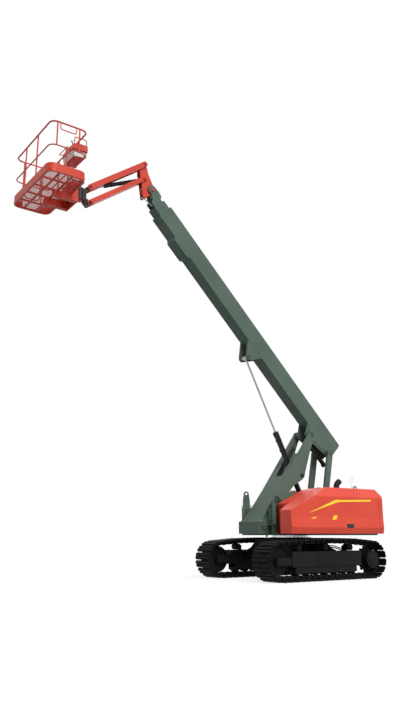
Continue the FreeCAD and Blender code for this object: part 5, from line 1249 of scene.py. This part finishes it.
# %% Filter, hoses and screws of the engine
bench = bmesh.new()
lathe(bench, [(0, 0), (0.034, 0), (0.040, 0.008), (0.040, 0.15), (0.036, 0.158), (0.040, 0.166),
              (0.040, 0.18), (0, 0.18)], facing_place(here(-0.72, -1.085, 1.13), UP), 28)
block(bench, (0.10, 0.06, 0.05), Matrix.Translation(here(-0.72, -1.065, 1.335)), 0.006, 2)
wide_run = [here(*point) for point in (
    (-1.25, -0.66, 1.70), (-1.36, -0.66, 1.71), (-1.45, -0.64, 1.60), (-1.46, -0.64, 1.20),
    (-1.41, -0.66, 1.10))]
bar(bench, rounded(wide_run, 0.09), 0.034, sides=20)
for x, y, z in ((-0.9, -1.055, 1.50), (-1.1, -1.055, 1.46)):
    run = [here(x + dx, y + dy, z + dz) for dx, dy, dz in (
        (0, 0, 0), (0.06, -0.02, -0.12), (0.02, -0.02, -0.34), (-0.1, 0, -0.42))]
    bar(bench, rounded(run, 0.12), 0.010, sides=10)
done(bench, "engine_filter_and_hoses", hose_rubber, "turntable")
for x in (-1.18, -0.93, -0.68):
    for dy in (-0.115, 0.115):
        fix("turntable", here(x, ENGINE_Y + dy, 1.826), UP, 0.009)
for x in (-1.32, -1.12, -0.92, -0.72, -0.52):
    for z in (1.02, 1.58):
        screw("engine_block", here(x, -0.75, z), (0, -1, 0), 0.010)

# %% [markdown]
# Two steel straps hold the tank down. It has a ring round its filler, and a clear tube between
# two unions shows how full it is.

# %% Tank dressing
TUBE_X, STRAP_WIDE, STRAP_THICK = -0.06, 0.045, 0.006
bench = bmesh.new()
for x in (-0.32, 0.18):
    for y, z, wide, high in ((0.755, 1.443, 0.57, STRAP_THICK), (1.043, 1.19, STRAP_THICK, 0.50),
                             (0.467, 1.19, STRAP_THICK, 0.50)):
        block(bench, (STRAP_WIDE, wide, high), Matrix.Translation(here(x, y, z)), 0.0015)
lathe(bench, [(0.050, 0), (0.066, 0), (0.069, 0.006), (0.069, 0.020), (0.060, 0.026),
              (0.050, 0.026)], facing_place(here(-0.38, 0.90, 1.440), UP), 12, hollow=True)
for z in (1.04, 1.34):
    lathe(bench, [(0, 0), (0.014, 0), (0.014, 0.020), (0, 0.020)],
          facing_place(here(TUBE_X, 1.04, z), LEFT), 6)
done(bench, "tank_straps_and_cap_ring", zinc, "turntable")
bench = bmesh.new()
bar(bench, [here(TUBE_X, 1.052, z) for z in (1.05, 1.33)], 0.006, sides=12)
done(bench, "tank_sight_tube", lens_clear, "turntable")

# %% [markdown]
# The operator's console carries two joysticks in rubber boots, a row of switches and a red stop
# button on a yellow ring. Its box is closed by pale panels that stay blank.

# %% Console controls
turn_pin = PINS["platform_rotate"]
face_x, lid_z = turn_pin.x + 0.2923, turn_pin.z + 0.895
slope = Matrix.Rotation(math.radians(29.05), 4, "Y")
STICK = [(0, 0), (0.030, 0), (0.032, 0.006), (0.024, 0.012), (0.027, 0.018), (0.019, 0.024),
         (0.022, 0.030), (0.012, 0.038), (0.007, 0.042), (0.007, 0.066), (0.014, 0.074),
         (0.016, 0.088), (0.011, 0.098), (0, 0.100)]
STOP_ALONG, STOP_Y = 0.066, 0.425


def on_slope(along, y, lift=0.0):
    """A place on the sloped face of the console, along it from its upper edge."""
    return Matrix.Translation((face_x + 0.06, y, lid_z)) @ slope @ Matrix.Translation(
        (along, 0, lift))


bench = bmesh.new()
block(bench, (0.003, 0.45, 0.140), Matrix.Translation((face_x + 0.1338, 0.33, lid_z - 0.208))
      @ Matrix.Rotation(math.radians(12.7), 4, "Y"), 0.001)
plate(bench, [(-0.122, -0.248), (0.108, -0.276), (0.136, -0.146), (-0.122, -0.138)], 0.003,
      Matrix.Translation((face_x, 0.5615, lid_z)), 0.001)
done(bench, "console_side_panels", panel_plastic, "platform")
bench = bmesh.new()
block(bench, (0.094, 0.44, 0.004), on_slope(0.051, 0.35, 0.002), 0.001)
for y in (0.20, 0.50):
    lathe(bench, STICK, on_slope(0.052, y, 0.004), 22)
for k in range(6):
    place = on_slope(0.030, 0.265 + 0.024 * k, 0.004)
    lathe(bench, [(0, 0), (0.007, 0), (0.007, 0.005), (0.0035, 0.007), (0.0045, 0.022),
                  (0, 0.024)], place, 12)
for k in range(4):
    lathe(bench, [(0, 0), (0.008, 0), (0.008, 0.004), (0.006, 0.006), (0, 0.006)],
          Matrix.Translation((face_x + 0.1625, 0.26 + 0.06 * k, lid_z - 0.090))
          @ Matrix.Rotation(math.radians(80.5), 4, "Y"), 16)
done(bench, "console_joysticks_and_switches", black_plastic, "platform")
bench = bmesh.new()
lathe(bench, [(0.012, 0), (0.026, 0), (0.026, 0.006), (0.020, 0.009), (0.012, 0.009)],
      on_slope(STOP_ALONG, STOP_Y, 0.004), 28, hollow=True)
done(bench, "stop_button_ring", yellow_plastic, "platform")
bench = bmesh.new()
lathe(bench, [(0, 0), (0.010, 0), (0.010, 0.012), (0.019, 0.014), (0.020, 0.022), (0.015, 0.027),
              (0, 0.029)], on_slope(STOP_ALONG, STOP_Y, 0.004), 28)
done(bench, "stop_button", red_plastic, "platform")
for y in (0.14, 0.56):
    for along in (0.010, 0.094):
        fix("platform", on_slope(along, y, 0.004).translation, slope @ UP, 0.004)

# %% [markdown]
# The gate has a slide latch with a knob. Bolts hold the back plate of the platform and the
# counterweight, and beads run along the plates that are welded to the deck.

# %% Gate latch and the last fixings
gate_low, gate_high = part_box("gate")
latch = Vector((gate_low.x + 0.013, gate_high.y, gate_low.z + 0.50))
bench = bmesh.new()
block(bench, (0.075, 0.006, 0.060), Matrix.Translation(latch + Vector((0.02, -0.001, 0))), 0.0015)
bar(bench, [latch + Vector((dx, 0.010, 0)) for dx in (-0.012, 0.055)], 0.0065, sides=14)
for dx in (0.0, 0.042):
    block(bench, (0.012, 0.022, 0.026), Matrix.Translation(latch + Vector((dx, 0.010, 0))), 0.002)
lathe(bench, [(0, 0), (0.005, 0), (0.005, 0.014), (0.011, 0.018), (0.011, 0.030), (0, 0.033)],
      facing_place(latch + Vector((0.022, 0.014, 0)), LEFT), 16)
done(bench, "gate_latch", zinc, "gate")
for y in (-0.225, -0.15, 0.15, 0.225):
    for z in (-0.12, 0.22):
        screw("platform_support", (turn_pin.x, y, turn_pin.z + z), -FORWARD, 0.009)
for z in (1.15, 1.55):
    for y in (-0.5, 0.5):
        screw("counterweight", here(-1.7, y, z), -FORWARD, 0.024)
for sign in (1, -1):
    for dy in (-0.0125, 0.0125):
        bead("turntable", [here(x, sign * 0.463 + dy, 0.937) for x in (0.785, 0.935)], 0.006)
    bead("turntable", [here(x, sign * 0.310, 0.937) for x in (-0.4, 0.98)], 0.006)
    bead("turntable", [here(1.16, sign * 0.335, z) for z in (0.95, 1.16)], 0.004)
bead("turntable", [here(1.183, y, 1.178) for y in (-0.30, 0.30)], 0.004)

# %% [markdown]
# Now the collected screws and weld beads are made, one piece of each for every body.

# %% Screws and beads
for body, spots in SCREWS.items():
    finish, slot_name = ROLE.get(body, BARE)
    bolts(body + "_screws", body, spots, finish)
for body, runs in BEADS.items():
    finish, slot_name = ROLE[body]
    bench = bmesh.new()
    for run, radius in runs:
        bar(bench, run, radius, sides=6)
    done(bench, body + "_weld_beads", finish, body)
print(sum(len(s) for s in SCREWS.values()), "screws,", sum(len(r) for r in BEADS.values()),
      "beads")

# %% Finish
print(len(PIECES), "pieces,", sum(PIECES.values()), "faces")
